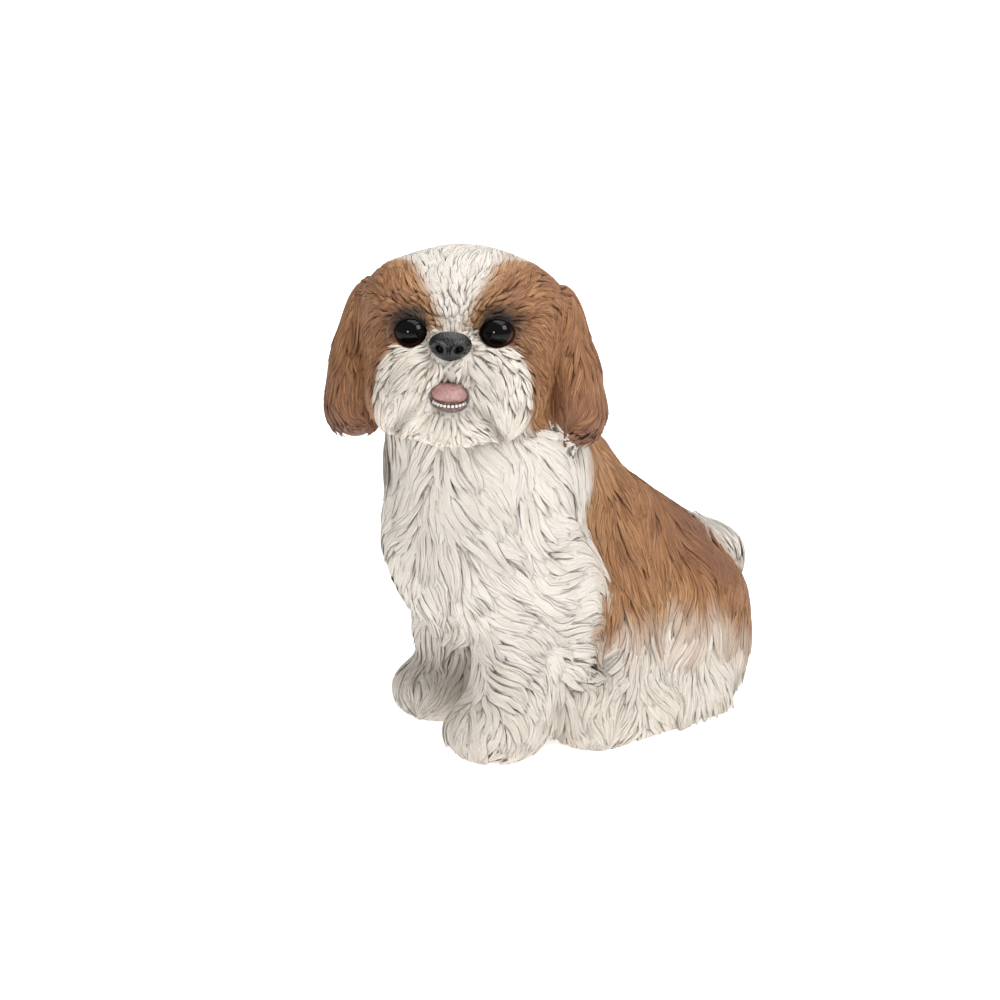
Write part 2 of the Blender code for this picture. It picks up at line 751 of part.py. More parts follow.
def gum():
    """A strip bent along the arc of the lower teeth."""
    made = ellipsoid("lower_teeth", (0, 0, 0), (1, 1, 1), 8, 5)
    points = points_of(made)
    angle = points[:, 0] * TEETH_HALF_ANGLE * GUM_REACH
    radius = TEETH_ARC - points[:, 1] * GUM_THICKNESS
    strip = np.stack(
        [
            TEETH_AT[0] + radius * np.sin(angle),
            TEETH_AT[1] - radius * np.cos(angle),
            TEETH_AT[2] + points[:, 2] * GUM_HEIGHT,
        ],
        axis=1,
    )
    made.data.vertices.foreach_set(
        "co", (strip @ np.array(HEAD_AXES).T + np.array(HEAD_AT)).ravel()
    )
    made.data.update()
    return made


def teeth():
    """The gum that carries the row of lower teeth, with taller ones at its ends."""
    last = TOOTH_COUNT - 1
    row = [
        tooth(
            TEETH_HALF_ANGLE * (2 * index / last - 1),
            END_TOOTH_RADII if index in (0, last) else TOOTH_RADII,
        )
        for index in range(TOOTH_COUNT)
    ]
    made = combine(gum(), row, "UNION")
    made = largest_surface(made)
    paint(made, "ivory")
    return made


def face_features():
    """The pieces that are set into the face."""
    return [*(eye(side) for side in SIDES), nose(), tongue(), teeth()]


def lids():
    """A ring round each eye."""
    places = [
        head_point((sign * EYE_AT[0], EYE_AT[1] - LID_FORWARD, EYE_AT[2])) for sign in SIDES.values()
    ]
    return [ring("lid", place, HEAD_AXES, LID_RADIUS, LID_THICKNESS) for place in places]


def head_object(features):
    """The head with its lids, its mouth and the seats of the features, and the space that it needs."""
    head = flesh_object("head", HEAD, 0.22, HEAD_TRIANGLES)
    added = lids() + head_locks()
    shells = shells_of([head, *added])
    combine(head, added, "UNION")
    mouth = ellipsoid("mouth", head_point(MOUTH_AT), MOUTH_RADII, 14, 8, HEAD_AXES)
    combine(head, [mouth, *cutters(shells_of(features))], "DIFFERENCE")
    head = largest_surface(head)
    paint(head, "white")
    return head, shells


def ear_object(side, head_shells):
    ear = flesh_object(f"ear_{side}", ear_flesh(side), 0.18, EAR_TRIANGLES)
    added = ear_locks(side)
    shells = shells_of([ear, *added])
    combine(ear, added, "UNION")
    combine(ear, cutters(head_shells), "DIFFERENCE")
    paint(largest_surface(ear), "brown")
    return shells


def half_space(plane, side, reach=60.0):
    """A block that fills the other side of the plane, with half the gap on top."""
    point, normal = Vector(plane[0]), Vector(plane[1]).normalized() * side
    made = block("side", (-reach, -reach, -reach), (reach, reach, GAP / 2))
    axes = np.array(normal.to_track_quat("Z", "Y").to_matrix())
    points = points_of(made) @ axes.T + np.array(point)
    made.data.vertices.foreach_set("co", points.ravel())
    made.data.update()
    return made


def copy_of(thing, name):
    made = bpy.data.objects.new(name, thing.data.copy())
    bpy.context.scene.collection.objects.link(made)
    return made


def parted(body):
    """The body's parts, cut apart along the planes."""
    parts = []
    for name, (colour, sides) in BODY_PARTS.items():
        part = copy_of(body, name)
        combine(part, [half_space(plane, side) for plane, side in sides], "DIFFERENCE")
        part = largest_surface(part)
        paint(part, colour)
        parts.append(part)
    bpy.data.objects.remove(body, do_unlink=True)
    return parts


def stand_in_place():
    """Scales the statue to its length in metres and puts the middle of its box over the origin."""
    pieces = [thing for thing in bpy.data.objects if thing.type == "MESH"]
    places = [points_of(piece) for piece in pieces]
    low = np.min([points.min(axis=0) for points in places], axis=0)
    high = np.max([points.max(axis=0) for points in places], axis=0)
    middle = (low + high) / 2 * np.array((1, 1, 0))
    scale = STATUE_LENGTH / (high - low)[1]
    for piece, points in zip(pieces, places):
        piece.data.vertices.foreach_set("co", ((points - middle) * scale).ravel())
        piece.data.update()


def main():
    clear_scene()
    features = face_features()
    head, head_shells = head_object(features)
    taken = head_shells + [shell for side in SIDES for shell in ear_object(side, head_shells)]
    body = flesh_object("body", BODY, 0.28, BODY_TRIANGLES)
    added = body_locks()
    body_shells = shells_of([body, *added])
    combine(body, added, "UNION")
    combine(body, cutters(taken), "DIFFERENCE")
    tail = flesh_object("tail", TAIL, 0.2, TAIL_TRIANGLES)
    combine(tail, tail_locks(), "UNION")
    combine(tail, cutters(body_shells), "DIFFERENCE")
    paint(largest_surface(tail), "white")
    parted(largest_surface(body))
    stand_in_place()


main()
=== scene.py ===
# Looks of a sitting shih tzu statue: its carved and painted coat, set-in eyes, nose and open mouth.
# Shapes are worked out in centimetres in the statue's own axes: the body looks along -Y, +X is its left.
import math

import bpy
import numpy as np
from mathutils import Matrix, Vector


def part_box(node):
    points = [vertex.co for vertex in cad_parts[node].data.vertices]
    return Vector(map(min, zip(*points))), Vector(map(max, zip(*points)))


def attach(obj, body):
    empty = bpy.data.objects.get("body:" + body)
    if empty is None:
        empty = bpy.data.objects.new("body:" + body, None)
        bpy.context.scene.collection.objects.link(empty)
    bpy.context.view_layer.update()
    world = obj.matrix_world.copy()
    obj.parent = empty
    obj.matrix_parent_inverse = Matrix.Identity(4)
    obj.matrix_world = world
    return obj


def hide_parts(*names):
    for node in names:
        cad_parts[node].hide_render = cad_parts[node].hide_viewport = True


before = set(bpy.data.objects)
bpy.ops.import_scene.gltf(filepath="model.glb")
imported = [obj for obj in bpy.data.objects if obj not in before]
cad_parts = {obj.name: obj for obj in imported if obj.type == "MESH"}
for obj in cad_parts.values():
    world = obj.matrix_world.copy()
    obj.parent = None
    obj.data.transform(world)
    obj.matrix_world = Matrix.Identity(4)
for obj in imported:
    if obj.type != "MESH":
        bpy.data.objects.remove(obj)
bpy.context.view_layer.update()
chance = np.random.default_rng(7)
print("frame loaded")


# Places
headPose = {"at": (-0.15, -6.9, 21.15), "turn": 45.5, "raise": 12.0, "tilt": 1.5}
eyeSettings = {"at": (2.12, -3.85, 0.80), "radius": 1.0, "rightDrop": 0.16}
lidSettings = {"wide": {1: 0.87, -1: 0.80}, "upper": 0.69, "lower": 0.75, "thick": 0.040}


def turned(yaw=0.0, pitch=0.0, roll=0.0):
    # turns about Y by roll, then about X by pitch, then about Z by yaw
    a, b, c = math.radians(yaw), math.radians(pitch), math.radians(roll)
    aboutZ = np.array(((math.cos(a), -math.sin(a), 0), (math.sin(a), math.cos(a), 0), (0, 0, 1)))
    aboutX = np.array(((1, 0, 0), (0, math.cos(b), -math.sin(b)), (0, math.sin(b), math.cos(b))))
    aboutY = np.array(((math.cos(c), 0, math.sin(c)), (0, 1, 0), (-math.sin(c), 0, math.cos(c))))
    return aboutZ @ aboutX @ aboutY


headAxes = turned(headPose["turn"], -headPose["raise"], headPose["tilt"])
headCentre = np.array(headPose["at"])


def headPoint(local):
    # the head's own axes to the statue's: turned, then moved to the head's centre
    return headCentre + np.asarray(local, float) @ headAxes.T


def headLocal(points):
    # the same the other way: moved back, then turned back
    return (points - headCentre) @ headAxes


def eyeBoxMiddle(node):
    # half way between the box's lowest and highest corners
    low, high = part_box(node)
    return (np.array(low) + np.array(high)) / 2


# the frame's eyes say how far the solids were moved and scaled from these axes
eyeLeftAt, eyeRightAt = eyeBoxMiddle("eye_left"), eyeBoxMiddle("eye_right")
metre = np.linalg.norm(eyeLeftAt - eyeRightAt) / (2 * eyeSettings["at"][0])
frameShift = (eyeLeftAt + eyeRightAt) / 2 - headPoint((0, *eyeSettings["at"][1:])) * metre


def placed(points):
    # centimetres of these axes to metres of the frame
    return np.asarray(points) * metre + frameShift


def unplaced(points):
    # metres of the frame to centimetres of these axes
    return (points - frameShift) / metre


def eyeAt(side):
    # the painted right eye looks out a little lower than the left one
    x, y, z = eyeSettings["at"]
    return np.array((side * x, y, z - eyeSettings["rightDrop"] * (side < 0)))


# Flesh: balls and limbs blended into one field
def ball(at, radii, blend=1.0, pitch=0.0, roll=0.0, onHead=False):
    # a sphere stretched to three radii, in the body's axes or the head's
    axes = turned(0, pitch, roll)
    return {
        "centre": headPoint(at) if onHead else np.array(at, float),
        "axes": headAxes @ axes if onHead else axes,
        "radii": np.array(radii, float),
        "blend": blend,
    }


def limb(start, end, startRadius, endRadius, blend=1.0):
    # a rod with round ends whose radius tapers from one end to the other
    return {
        "start": np.array(start, float),
        "end": np.array(end, float),
        "ends": (startRadius, endRadius),
        "blend": blend,
    }


def shapeDistance(shape, points):
    # ball: k0 (k0 - 1) / k1 of its scaled radius; limb: distance to its axis less a radius that tapers
    if "centre" in shape:
        inside = (points - shape["centre"]) @ shape["axes"]
        near = np.linalg.norm(inside / shape["radii"], axis=1)
        slope = np.linalg.norm(inside / shape["radii"] ** 2, axis=1) + 1e-9
        return near * (near - 1) / slope
    along = shape["end"] - shape["start"]
    share = np.clip((points - shape["start"]) @ along / (along @ along), 0, 1)
    radius = shape["ends"][0] + (shape["ends"][1] - shape["ends"][0]) * share
    return np.linalg.norm(points - shape["start"] - share[:, None] * along, axis=1) - radius


def blended(near, other, blend):
    # smooth minimum: the lesser of two distances, rounded where they are alike
    share = np.clip(0.5 + 0.5 * (near - other) / blend, 0, 1)
    return near + (other - near) * share - blend * share * (1 - share)


def field(flesh, points):
    # the distances to a group's shapes, blended one after another
    total = shapeDistance(flesh[0], points)
    for shape in flesh[1:]:
        total = blended(total, shapeDistance(shape, points), shape["blend"])
    return total


pawStep = {1: -0.55, -1: 0.9}  # how far back each forepaw stands, by side: the left one is ahead


def legShapes(side):
    # foreleg, forepaw, elbow, thigh, hind foot and hock
    step = pawStep[side]
    return [
        limb((side * 3.1, -5.0, 9.0), (side * 3.1, -5.7 + step, 2.6), 2.7, 2.25),
        ball((side * 3.15, -6.8 + step, 1.3), (2.55, 2.8, 1.8), 0.8),
        limb((side * 3.6, -3.3, 8.0), (side * 3.8, -3.6, 3.2), 2.2, 1.5, 1.0),
        ball((side * 3.9, 4.0, 4.2), (3.1, 5.6, 4.4), 1.2),
        limb((side * 5.0, -2.2, 1.2), (side * 5.2, 4.8, 0.9), 2.3, 2.2, 0.75),
        ball((side * 3.7, 6.5, 2.4), (2.8, 3.2, 3.0), 0.8),
    ]


bodyFlesh = [
    ball((0, 5.5, 4.8), (5.8, 6.0, 5.3), 2.0),
    ball((0, 1.0, 7.5), (5.5, 6.4, 5.9), 2.0, pitch=-32),
    ball((0, -5.9, 10.8), (5.5, 4.75, 5.5), 2.0),
    ball((0, -5.3, 15.2), (5.0, 4.65, 4.6), 2.0),
    limb((0, -5.6, 14), (0, -6.6, 18.5), 4.6, 4.4, 1.0),
    limb((0, -4.6, 16.8), (0, -0.7, 12.9), 2.7, 3.3, 1.5),
    *legShapes(1),
    *legShapes(-1),
]
tailPath = np.array(((0, 10.6, 3.0), (-0.5, 11.6, 5.6), (-1.3, 10.5, 7.0)))
tailFlesh = [
    limb(tailPath[0], tailPath[1], 1.8, 1.9),
    limb(tailPath[1], tailPath[2], 1.9, 1.4, 0.8),
]


def bothSides(at, radii, blend, roll):
    # a ball of the head and its mirror image
    return [ball((side * at[0], *at[1:]), radii, blend, roll=-side * roll, onHead=True) for side in (1, -1)]


headFlesh = [
    ball((0, 0.5, 0.45), (5.45, 5.1, 4.6), 1.0, onHead=True),
    *bothSides((2.7, -0.5, 2.2), (2.2, 3.0, 1.9), 0.8, 0),
    ball((0, -1.2, -2.2), (4.6, 3.9, 2.75), 1.0, onHead=True),
    *bothSides((2.05, -4.2, -2.05), (2.2, 2.15, 2.5), 0.35, 14),
    ball((0, -4.7, -0.6), (1.4, 1.6, 1.3), 0.5, onHead=True),
    ball((0, -4.0, -3.6), (2.25, 2.0, 1.35), 0.2, onHead=True),
    *bothSides((2.3, -3.7, 2.0), (1.5, 0.75, 0.55), 0.4, -6),
    *(ball(eyeAt(side), (1.18, 1.15, 1.14), 0.3, onHead=True) for side in (1, -1)),
]


def earShapes(side):
    # root, hanging flap and its round end; the right ear hangs closer to the head
    closer = 0.5 if side < 0 else 0.0
    return [
        ball((side * 5.35, 0.9, 0.4), (1.0, 2.1, 2.8), 1.0, roll=-side * 9, onHead=True),
        ball((side * (5.8 - closer), 0.7, -2.35), (1.4, 2.6, 2.5), 1.2, onHead=True),
        ball((side * (6.0 - closer), 0.6, -3.5), (1.35, 2.1, 1.4), 0.8, onHead=True),
    ]


fleshGroups = {
    "head": headFlesh,
    "earLeft": earShapes(1),
    "earRight": earShapes(-1),
    "body": bodyFlesh,
    "tail": tailFlesh,
}
headGroup, leftEarGroup, rightEarGroup, bodyGroup, tailGroup = range(len(fleshGroups))
groupBlend = 0.3
mouthHollow = {"at": (0.05, -4.9, -2.36), "radii": (1.06, 2.3, 0.76)}
lipSettings = {"at": (0.05, -6.4, -2.15), "thick": 0.04, "wide": 0.97, "upper": 0.52, "lower": 0.86}
mouthBall = ball(mouthHollow["at"], mouthHollow["radii"], onHead=True)
noseSettings = {"at": (0.0, -5.95, 0.05), "radii": (1.03, 0.82, 0.74), "flare": 0.16}
noseBall = ball(noseSettings["at"], noseSettings["radii"], onHead=True)


def wholeField(points):
    # the groups' fields, blended a little where they meet
    total, *others = [field(flesh, points) for flesh in fleshGroups.values()]
    for other in others:
        total = blended(total, other, groupBlend)
    return total


def outward(points, step=0.03):
    # slope of the field, one axis at a time
    slopes = [wholeField(points + offset) - wholeField(points - offset) for offset in np.eye(3) * step]
    return unitRows(np.stack(slopes, axis=1))


def unitRows(vectors):
    # each vector over its own length
    return vectors / (np.linalg.norm(vectors, axis=-1, keepdims=True) + 1e-9)


def settled(points, height, rounds=1):
    # moved along the slope by what the field there differs from the height
    for _ in range(rounds):
        points = points - outward(points) * (wholeField(points) - height)[:, None]
    return points


def groupOf(points):
    # the group whose field is the least
    return np.argmin([field(flesh, points) for flesh in fleshGroups.values()], axis=0)


def onEar(groups):
    # either ear's group
    return (groups == leftEarGroup) | (groups == rightEarGroup)


def smooth(values, low, high):
    # 0 below low, 1 above high, with an S between them
    share = np.clip((values - low) / (high - low), 0, 1)
    return share * share * (3 - 2 * share)


def mixed(first, second, share):
    # the first at a share of 0, the second at 1
    return first * (1 - share) + second * share


# Meshes
def meshObject(name, points, loops, sizes, material):
    # one object at the origin from points in centimetres and faces as a row of corners and their counts
    mesh = bpy.data.meshes.new(name)
    starts = np.concatenate(([0], np.cumsum(sizes)[:-1])).astype(np.int32)
    mesh.vertices.add(len(points))
    mesh.loops.add(len(loops))
    mesh.polygons.add(len(sizes))
    mesh.vertices.foreach_set("co", placed(points).astype(np.float32).ravel())
    mesh.loops.foreach_set("vertex_index", np.asarray(loops, np.int32))
    mesh.polygons.foreach_set("loop_start", starts)
    mesh.polygons.foreach_set("loop_total", np.asarray(sizes, np.int32))
    mesh.polygons.foreach_set("use_smooth", np.ones(len(sizes), bool))
    mesh.update(calc_edges=True)
    mesh.validate()
    mesh.materials.append(material)
    made = bpy.data.objects.new(name, mesh)
    bpy.context.scene.collection.objects.link(made)
    return made


def turnAngles(count):
    # a full turn in even steps, without the last, which is the first again
    return np.linspace(0, 2 * math.pi, count, endpoint=False)


def gridLoops(rows, columns):
    # quads of a grid that closes on itself across its columns
    row, column = np.meshgrid(np.arange(rows - 1), np.arange(columns), indexing="ij")
    here = row * columns + column
    beside = row * columns + (column + 1) % columns
    return np.stack([here, beside, beside + columns, here + columns], axis=-1).reshape(-1, 4)


def globe(rows, columns):
    # unit sphere with poles along Y: angle from the front pole by rows, turn about Y by columns, then the
    # two poles, each with a fan of triangles
    p, a = np.meshgrid(np.linspace(0, math.pi, rows + 2)[1:-1], turnAngles(columns), indexing="ij")
    grid = np.stack([np.sin(p) * np.cos(a), -np.cos(p), np.sin(p) * np.sin(a)], axis=-1)
    points = np.concatenate([grid.reshape(-1, 3), [[0, -1, 0], [0, 1, 0]]])
    quads = gridLoops(rows, columns)
    ring = np.arange(columns)
    following = (ring + 1) % columns
    pole = rows * columns
    last = pole - columns
    frontFan = np.stack([np.full(columns, pole), following, ring], axis=1)
    backFan = np.stack([np.full(columns, pole + 1), last + ring, last + following], axis=1)
    loops = np.concatenate([quads.ravel(), frontFan.ravel(), backFan.ravel()])
    return points, loops, np.concatenate([np.full(len(quads), 4), np.full(2 * columns, 3)])


def copies(places, loops, sizes):
    # several point sets with the same faces as one mesh: each set's corners count on from the last one's
    starts = np.arange(len(places))[:, None] * len(places[0])
    return np.concatenate(places), (loops + starts).ravel(), np.tile(sizes, len(places))


def givePoints(thing, name, kind, part, values):
    # one value, vector or colour for each point of the mesh
    attribute = thing.data.attributes.new(name, kind, "POINT")
    attribute.data.foreach_set(part, np.asarray(values, np.float32).ravel())


# Shader maths on sockets
class Wire:
    # a socket that can be added, subtracted and multiplied, with numbers on either side
    def __init__(self, nodes, socket):
        self.nodes, self.socket = nodes, socket

    def maths(self, operation, *values):
        return self.nodes.add("ShaderNodeMath", {"operation": operation}, values)

    def __add__(self, other):
        return self.maths("ADD", self, other)

    def __radd__(self, other):
        return self.maths("ADD", other, self)

    def __sub__(self, other):
        return self.maths("SUBTRACT", self, other)

    def __rsub__(self, other):
        return self.maths("SUBTRACT", other, self)

    def __mul__(self, other):
        return self.maths("MULTIPLY", self, other)

    def __rmul__(self, other):
        return self.maths("MULTIPLY", other, self)

    def clamped(self, low=0.0, high=1.0):
        return self.nodes.add("ShaderNodeClamp", {}, {"Value": self, "Min": low, "Max": high})

    def between(self, low, high):
        # 0 at low, 1 at high, with an S between them
        return self.nodes.add(
            "ShaderNodeMapRange",
            {"clamp": True, "interpolation_type": "SMOOTHSTEP"},
            {"Value": self, "From Min": low, "From Max": high},
        )


class Finish:
    # one material, its shader, and the one way that nodes are added to it
    def __init__(self, name):
        self.material = bpy.data.materials.new(name)
        self.material.use_nodes = True
        self.tree = self.material.node_tree
        self.shader = self.tree.nodes["Principled BSDF"]

    def add(self, kind, settings, values=(), output=0):
        # values and links go to the inputs in order, or by name or number from a dictionary
        node = self.tree.nodes.new(kind)
        for setting, value in settings.items():
            setattr(node, setting, value)
        for key, value in values.items() if isinstance(values, dict) else enumerate(values):
            if isinstance(value, Wire):
                self.tree.links.new(value.socket, node.inputs[key])
            else:
                node.inputs[key].default_value = value
        return Wire(self, node.outputs[output])

    def mixColours(self, first, second, share):
        # sockets 6 and 7 of the mix are its two colours, and output 2 is the colour that it gives
        first, second = (value if isinstance(value, Wire) else (*value, 1) for value in (first, second))
        return self.add("ShaderNodeMix", {"data_type": "RGBA"}, {0: share, 6: first, 7: second}, 2)

    def attribute(self, name, output):
        # output 0 is its colour, 1 its vector and 2 its number
        return self.add("ShaderNodeAttribute", {"attribute_name": name}, (), output)

    def place(self):
        # Object coordinates, in metres
        return self.add("ShaderNodeTexCoord", {}, (), 3)

    def vector(self, operation, *values, output=0):
        return self.add("ShaderNodeVectorMath", {"operation": operation}, values, output)

    def noise(self, vector, scale, detail=2.0, roughness=0.5):
        inputs = {"Vector": vector, "Scale": scale, "Detail": detail, "Roughness": roughness}
        return self.add("ShaderNodeTexNoise", {}, inputs)

    def set(self, name, value):
        # a link, a number or a colour straight on the shader's own socket
        socket = self.shader.inputs[name]
        if isinstance(value, Wire):
            self.tree.links.new(value.socket, socket)
        else:
            socket.default_value = value if isinstance(value, (int, float)) else (*value, 1)

    def bump(self, height, strength, distance):
        inputs = {"Strength": strength, "Distance": distance, "Height": height}
        self.set("Normal", self.add("ShaderNodeBump", {}, inputs))


coatPaint = {
    "white": (0.765, 0.72, 0.66),
    # the wash colours darken the grooves, and also take the painted shade and painted light carried in the
    # wash
    "whiteWashAndShade": (0.50, 0.40, 0.29),
    "brown": (0.345, 0.155, 0.064),
    "brownLight": (0.52, 0.295, 0.14),
    "brownWashAndShade": (0.13, 0.045, 0.018),
    "purple": (0.175, 0.09, 0.066),
    # dark: airbrush round the eyes, and painted shade under the nose and beside the chin
    "dark": (0.018, 0.012, 0.010),
    "fineScale": (14.0, 0.55, 1.0),  # strands in a centimetre across a lock and along it
    "broadScale": (2.6, 0.25, 1.0),
    "bump": 0.8,
    "bumpDepth": 0.0010,
}


def coatMaterial():
    # coat attribute: brown, dark round the eyes, wash in the grooves, with painted shade beside the chin
    # and under the nose in brown and dark, and painted shade low on the body and on the moustache and
    # painted light on the crown and tail in the wash; strand attribute: across, along, lock
    s = coatPaint
    finish = Finish("painted carved coat")
    coat = finish.attribute("coat", 0)
    brown, dark, washAndShade = (finish.add("ShaderNodeSeparateColor", {}, (coat,), part) for part in range(3))
    tone = finish.attribute("tone", 2)
    strand = finish.attribute("strand", 1)
    fine = finish.noise(finish.vector("MULTIPLY", strand, s["fineScale"]), 1.0, 3.0, 0.6)
    broad = finish.noise(finish.vector("MULTIPLY", strand, s["broadScale"]), 1.0, 1.0)
    lines = fine.between(0.36, 0.60)
    white = finish.mixColours(s["whiteWashAndShade"], s["white"], (lines * 0.50 + 0.60 - washAndShade * 0.28).clamped())
    light = (broad.between(0.42, 0.70) * 0.55 + fine.between(0.5, 0.7) * 0.25 + tone * 0.6).clamped()
    brownBase = finish.mixColours(s["brown"], s["brownLight"], light)
    brownBase = finish.mixColours(brownBase, s["purple"], (0.0 - tone).clamped())
    brownLines = finish.mixColours(s["brownWashAndShade"], brownBase, (lines * 0.68 + 0.40 - washAndShade * 0.5).clamped())
    streaky = (brown + (fine - 0.5) * 0.5 * (brown * (1.0 - brown) * 4.0)).clamped()
    colour = finish.mixColours(white, brownLines, streaky)
    colour = finish.mixColours(colour, s["dark"], (dark + (fine - 0.5) * dark * 0.5).clamped())
    finish.set("Base Color", colour)
    finish.set("Roughness", (0.50 + washAndShade * 0.2 + (1.0 - lines) * 0.1).clamped())
    finish.set("Specular IOR Level", 0.35)
    finish.bump(fine, s["bump"], s["bumpDepth"])
    return finish.material


paintedCoat = coatMaterial()
print("coat paint mixed")


# Markings
muzzlePatch = {"height": -2.6, "right": 3.5, "left": 3.85, "upper": 3.4, "lower": 3.6, "power": 2.4}


def muzzleGap(local):
    # 1 on the edge of the white moustache, a rounded oval with a radius for each side, and less inside
    s = muzzlePatch
    x, z = local[:, 0], local[:, 2] - s["height"]
    wide = np.abs(x) / np.where(x < 0, s["right"], s["left"])
    tall = np.abs(z) / np.where(z > 0, s["upper"], s["lower"])
    return (wide ** s["power"] + tall ** s["power"]) ** (1 / s["power"])


def headMarkings(local):
    # white blaze, moustache and chin in brown, dark airbrush round the eyes, and painted shade under the
    # nose and in the creases from the corners of the mouth
    x, y, z = np.abs(local[:, 0]), local[:, 1], local[:, 2]
    # the blaze widens with the way up from the nose and narrows behind the crown
    rise = np.hypot(np.maximum(y + 4.9, 0), z - 1.0)
    slope = np.where(local[:, 0] < 0, 0.50, 0.36)
    blazeHalf = 0.33 + slope * np.minimum(rise, 5.5) + 0.8 * smooth(rise, 3.8, 5.6)
    blazeHalf = blazeHalf * (1 - 0.55 * smooth(y, 1.5, 5.0))
    offBlaze = smooth(x - blazeHalf, -0.35, 0.45)
    onMuzzle = (1 - smooth(muzzleGap(local), 0.97, 1.05)) * (1 - smooth(y, -3.2, -2.0))
    chin = (1 - smooth(z, -4.6, -3.9)) * (1 - smooth(y, -1.5, 0.5)) * (1 - smooth(x, 2.8, 3.3))
    brown = offBlaze * (1 - np.maximum(onMuzzle, chin)) * (1 - smooth(-z, 3.8, 4.6) * smooth(y, -2, 0))
    eyeOffset = local - np.where(local[:, :1] > 0, eyeAt(1), eyeAt(-1))
    eyeGap = np.linalg.norm(eyeOffset * (1, 0.8, 1), axis=1) - np.clip(0.22 * eyeOffset[:, 2], -0.12, 0.3)
    dark = 0.95 * (1 - smooth(eyeGap, 0.84, 1.30)) * (1 - onMuzzle) * (y < -1)
    dark = np.maximum(dark, 0.7 * (1 - smooth(eyeGap, 0.80, 0.92)) * (y < -1))
    # painted shade under the nose
    underNoseShade = (1 - smooth(x, 0.1, 0.5)) * (1 - smooth(-z, 1.5, 2.2)) * smooth(-z, 0.2, 0.8)
    underNoseShade = underNoseShade * (y < -4) * 0.3
    # the shade between chin and moustache runs out and down from the corners of the mouth
    drop = np.maximum(-z - 2.45, 0)
    crease = np.abs(x - 1.05 - 1.15 * drop / (1 + 0.22 * drop)) / 0.48
    creaseShade = 0.46 * (1 - smooth(crease, 0.2, 1.0)) * smooth(-z, 2.5, 3.1)
    creaseShade = creaseShade * (1 - smooth(-z, 4.1, 4.8)) * (y < -3)
    # the crease's painted shade goes into both brown and dark
    brown = np.maximum(brown, 0.7 * creaseShade)
    dark = np.maximum(dark, np.maximum(underNoseShade, creaseShade))
    tone = 0.9 * (1 - smooth(x - blazeHalf, 0.3, 1.4)) - 0.35 * smooth(z, 1.5, 4) * smooth(x, 2.5, 4.5)
    return brown, dark, tone


def saddleMarkings(points):
    # the saddle lies behind the shoulders and above the flanks, with a wavy edge that is lighter
    x, y, z = np.abs(points[:, 0]), points[:, 1], points[:, 2]
    front = mixed(-2.9, -1.6, smooth(z, 12.4, 13.6))
    low = np.maximum(6.2 - 0.078 * (y - 2.0) ** 2, 2.2)
    wobble = 0.5 * np.sin(y * 2.1 + x) + 0.35 * np.sin(y * 4.7 + 1.3)
    brown = smooth(y - front + 0.3 * np.sin(z * 2.3), -0.15, 0.45)
    brown = brown * smooth(z - low + wobble * 0.6, -0.9, 1.0)
    tone = 0.9 - 0.9 * smooth(np.minimum(y - front, (z - low) * 0.8), 0.3, 2.6)
    return brown * (1 - tailPatch(points)), tone - 0.45 * smooth(y, 2, 6) * smooth(z, 6, 9)


def markings(points, groups):
    # brown patches, dark airbrush, painted shade under the nose and beside the chin, tone (+ lighter
    # ginger, - purple brown), each by its group
    local = headLocal(points)
    headBrown, headDark, headTone = headMarkings(local)
    saddle, saddleTone = saddleMarkings(points)
    tailBrown = 1 - smooth(points[:, 2] + 0.4 * np.sin(points[:, 0] * 3.0), 3.6, 5.6)
    earTone = -0.10 - 0.68 * smooth(-local[:, 2], 1.6, 4.4)
    isHead, isEar, isTail = groups == headGroup, onEar(groups), groups == tailGroup
    brown = np.select([isHead, isEar, isTail], [headBrown, np.ones(len(points)), tailBrown], saddle)
    tone = np.select([isHead, isEar], [headTone, earTone], saddleTone)
    return brown, np.where(isHead, headDark, 0), tone


# Lie of the coat
def swirl(points, wave, seed):
    # three waves across each other make a soft, even disorder
    draw = np.random.default_rng(seed)
    total = 0.0
    for _ in range(3):
        total = total + np.sin(points @ (draw.normal(size=3) * 2.2 / wave) + draw.uniform(0, 6.3))
    return total / 1.8


straightDown = np.array((0, 0, -1.0))


def headWay(points):
    # hair springs from round the nose, runs up the brow, parts over the crown and falls at the sides
    local = headLocal(points)
    x, y, z = local.T
    away = unitRows(local - np.array((0, -5.5, 0.45)))
    sides = smooth(np.abs(x), 2.3, 5.2) * smooth(-z, -3.6, 0.2)
    behind = smooth(y, -0.5, 4.5)
    fall = np.maximum(sides, behind)[:, None]
    upper = away * (1 - 0.8 * fall) + np.array((0, 0.1, -1.0)) * fall
    spring = unitRows(local - np.array((0, -4.6, -0.25)))
    weight = 0.9 * smooth(-z, 0.2, 2.8) + 0.5 * smooth(np.abs(x), 1.3, 3.2) * smooth(-z, -0.6, 1.0)
    weight = weight[:, None]
    lower = spring * (1 - 0.5 * weight) + straightDown * weight
    chin = smooth(-z, 2.9, 3.5) * (1 - smooth(np.abs(x), 1.6, 2.3))
    lower = mixed(lower, unitRows(local - np.array((0, -5.2, -2.4))), chin[:, None])
    lower = lower + np.array((0, 0.6, 0)) * smooth(-z, 3.9, 4.6)[:, None]
    muzzle = (1 - smooth(muzzleGap(local), 0.98, 1.12)) * (1 - smooth(y, -3.0, -1.2))
    return unitRows(mixed(unitRows(upper), unitRows(lower), np.maximum(muzzle, chin)[:, None]) @ headAxes.T)


def earWay(points):
    # down the ear, and inward near its round end
    local = headLocal(points)
    low = smooth(-local[:, 2], 0.5, 4.0)
    inward = -0.75 * np.sign(local[:, 0]) * smooth(-local[:, 2], 2.3, 4.6)
    way = np.stack([inward, 0.10 * (local[:, 1] - 0.8) + 0.15 - 0.35 * low, -np.ones(len(points))], axis=1)
    return unitRows(way @ headAxes.T)


def fannedFrom(points, x, y, z):
    # away from the place above its own foot, whose x and y differ by side
    return unitRows(points - np.stack([x, y, z + 0 * x], axis=1))


